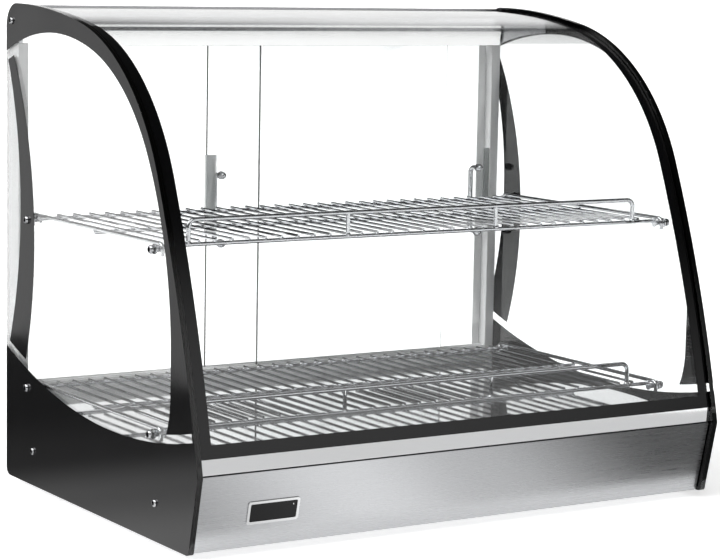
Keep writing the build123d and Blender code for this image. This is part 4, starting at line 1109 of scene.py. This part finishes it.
@dataclass
class Studio:
    """Studio: white paper over a grey floor, soft light, reflecting cards, and the camera."""

    level: float = 0.035
    sources: tuple[Softbox, ...] = (
        Softbox(32.0, 4.0, 12.0, 19.0, 1.0),
        Softbox(157.0, 9.0, 6.0, 24.0, 1.0),
        Softbox(-72.0, 45.0, 18.0, 34.0, 4.2),
        Softbox(-140.0, 55.0, 14.0, 30.0, 2.4),
    )
    eye: Vector = field(default_factory=lambda: Vector((-1.4180, -2.25285, 0.5868)))
    heading: float = 32.2168
    pitch: float = 7.4261
    roll: float = 1.09675
    lens: float = 119.58
    reach: float = 90.0  # radius of the floor, in metres

    def build(self) -> None:
        """Set up light, floor and camera."""
        bpy.context.scene.view_settings.view_transform = "Standard"
        self.light()
        self.floor()
        self.cards()
        self.camera()

    def light(self) -> None:
        """Make the world: a dim room with a white backdrop and softboxes."""
        world = bpy.data.worlds.new("white_studio")
        world.use_nodes = True
        tree = world.node_tree
        tree.nodes.clear()
        way = add(tree, "ShaderNodeTexCoord").outputs["Generated"]
        total = add(tree, "ShaderNodeValue")
        total.outputs[0].default_value = self.level
        level = total.outputs[0]
        for source in self.sources:
            lean = add(tree, "ShaderNodeVectorMath", {0: way, 1: source.direction()}, operation="DOT_PRODUCT")
            edge, full = (math.cos(math.radians(angle)) for angle in (source.outer, source.inner))
            share = add(tree, "ShaderNodeMapRange", {
                "Value": lean.outputs["Value"], "From Min": edge, "From Max": full,
                "To Min": 0.0, "To Max": source.strength}, interpolation_type="SMOOTHSTEP")
            level = add(tree, "ShaderNodeMath", {0: level, 1: share.outputs[0]}, operation="ADD").outputs[0]
        sky = add(tree, "ShaderNodeBackground", {"Color": (1.0, 1.0, 1.0, 1.0), "Strength": level})
        add(tree, "ShaderNodeOutputWorld", {"Surface": sky.outputs[0]})
        bpy.context.scene.world = world

    def sheet(self, name: str, finish: Finish, corners: list[tuple[float, float]], height: float,
              only_mirrored: bool = False) -> None:
        """Lay a flat sheet on the floor.

        Args:
            name: Name of the sheet.
            finish: What it is made of.
            corners: Its corners on the floor, in metres, anticlockwise.
            height: How high it lies.
            only_mirrored: Whether it shows in reflections alone, as a card beside the set does.
        """
        bench = Workpiece()
        bench.bm.faces.new([bench.bm.verts.new((x, y, height)) for x, y in corners])
        sheet = bench.finish(name, finish, turn_out=False)
        if only_mirrored:
            sheet.visible_camera = sheet.visible_diffuse = False
            sheet.visible_transmission = sheet.visible_shadow = False

    def floor(self) -> None:
        """Lay white paper all round; polished faces see it as a wedge on a grey floor.

        The wedge widens away from the camera, as the camera's view does.
        """
        turn = math.radians(self.heading)
        along, across = Vector((math.sin(turn), math.cos(turn))), Vector((math.cos(turn), -math.sin(turn)))
        outline = [(2.2, -0.8), (2.2, 0.8), (3.3, 0.8), (60.0, 10.5), (60.0, -10.5), (3.3, -0.8)]
        wedge = [tuple(self.eye.xy + along * far + across * off) for far, off in outline]
        angles = [step * math.tau / 48 for step in range(48)]
        rim = [(self.reach * math.cos(angle), self.reach * math.sin(angle)) for angle in angles]
        self.sheet("studio_floor", LIT_PAPER, rim, 0.0)
        self.sheet("grey_floor_card", FLOOR_PAINT, rim, 0.3 * MM, only_mirrored=True)
        self.sheet("white_wedge_card", LIT_PAPER, wedge, 0.5 * MM, only_mirrored=True)

    def cards(self) -> None:
        """Lay the graded cards beside the case, and white paper at the front right."""
        self.sheet("side_card", SIDE_CARD, [(-0.8, -0.6), (-0.334, -0.6), (-0.334, 1.2), (-0.8, 1.2)],
                   1.0 * MM, only_mirrored=True)
        self.sheet("front_card", FRONT_CARD, [(-0.55, -0.75), (0.75, -0.75), (0.75, -0.245), (-0.55, -0.245)],
                   1.0 * MM, only_mirrored=True)
        self.sheet("front_right_paper", LIT_PAPER, [(1.3, -4.8), (3.8, -4.8), (3.8, -1.2), (1.3, -1.2)],
                   0.5 * MM, only_mirrored=True)

    def camera(self) -> None:
        """Stand the camera at the case's left front corner, a little above it."""
        data = bpy.data.cameras.new("studio_camera")
        data.lens, data.sensor_width = self.lens, 36.0
        data.clip_end = 200.0
        camera = bpy.data.objects.new("studio_camera", data)
        bpy.context.scene.collection.objects.link(camera)
        turn = (Matrix.Rotation(math.radians(-self.heading), 4, "Z")
                @ Matrix.Rotation(math.radians(90.0 - self.pitch), 4, "X")
                @ Matrix.Rotation(math.radians(self.roll), 4, "Z"))
        camera.matrix_world = Matrix.Translation(self.eye) @ turn
        bpy.context.scene.camera = camera


def main() -> None:
    """Build the case, sub-assembly by sub-assembly."""
    logging.basicConfig(level=logging.INFO, format="%(message)s")
    Glasshouse().build()
    Base().build()
    Display().build()
    RearFrame().build()
    Fasteners().build()
    for rack in ("upper_rack", "lower_rack"):
        WireRack(rack).build()
    for side in ("left", "right"):
        SlidingDoor(side).build()
    Controls().build()
    Studio().build()


if __name__ == "__main__":
    main()
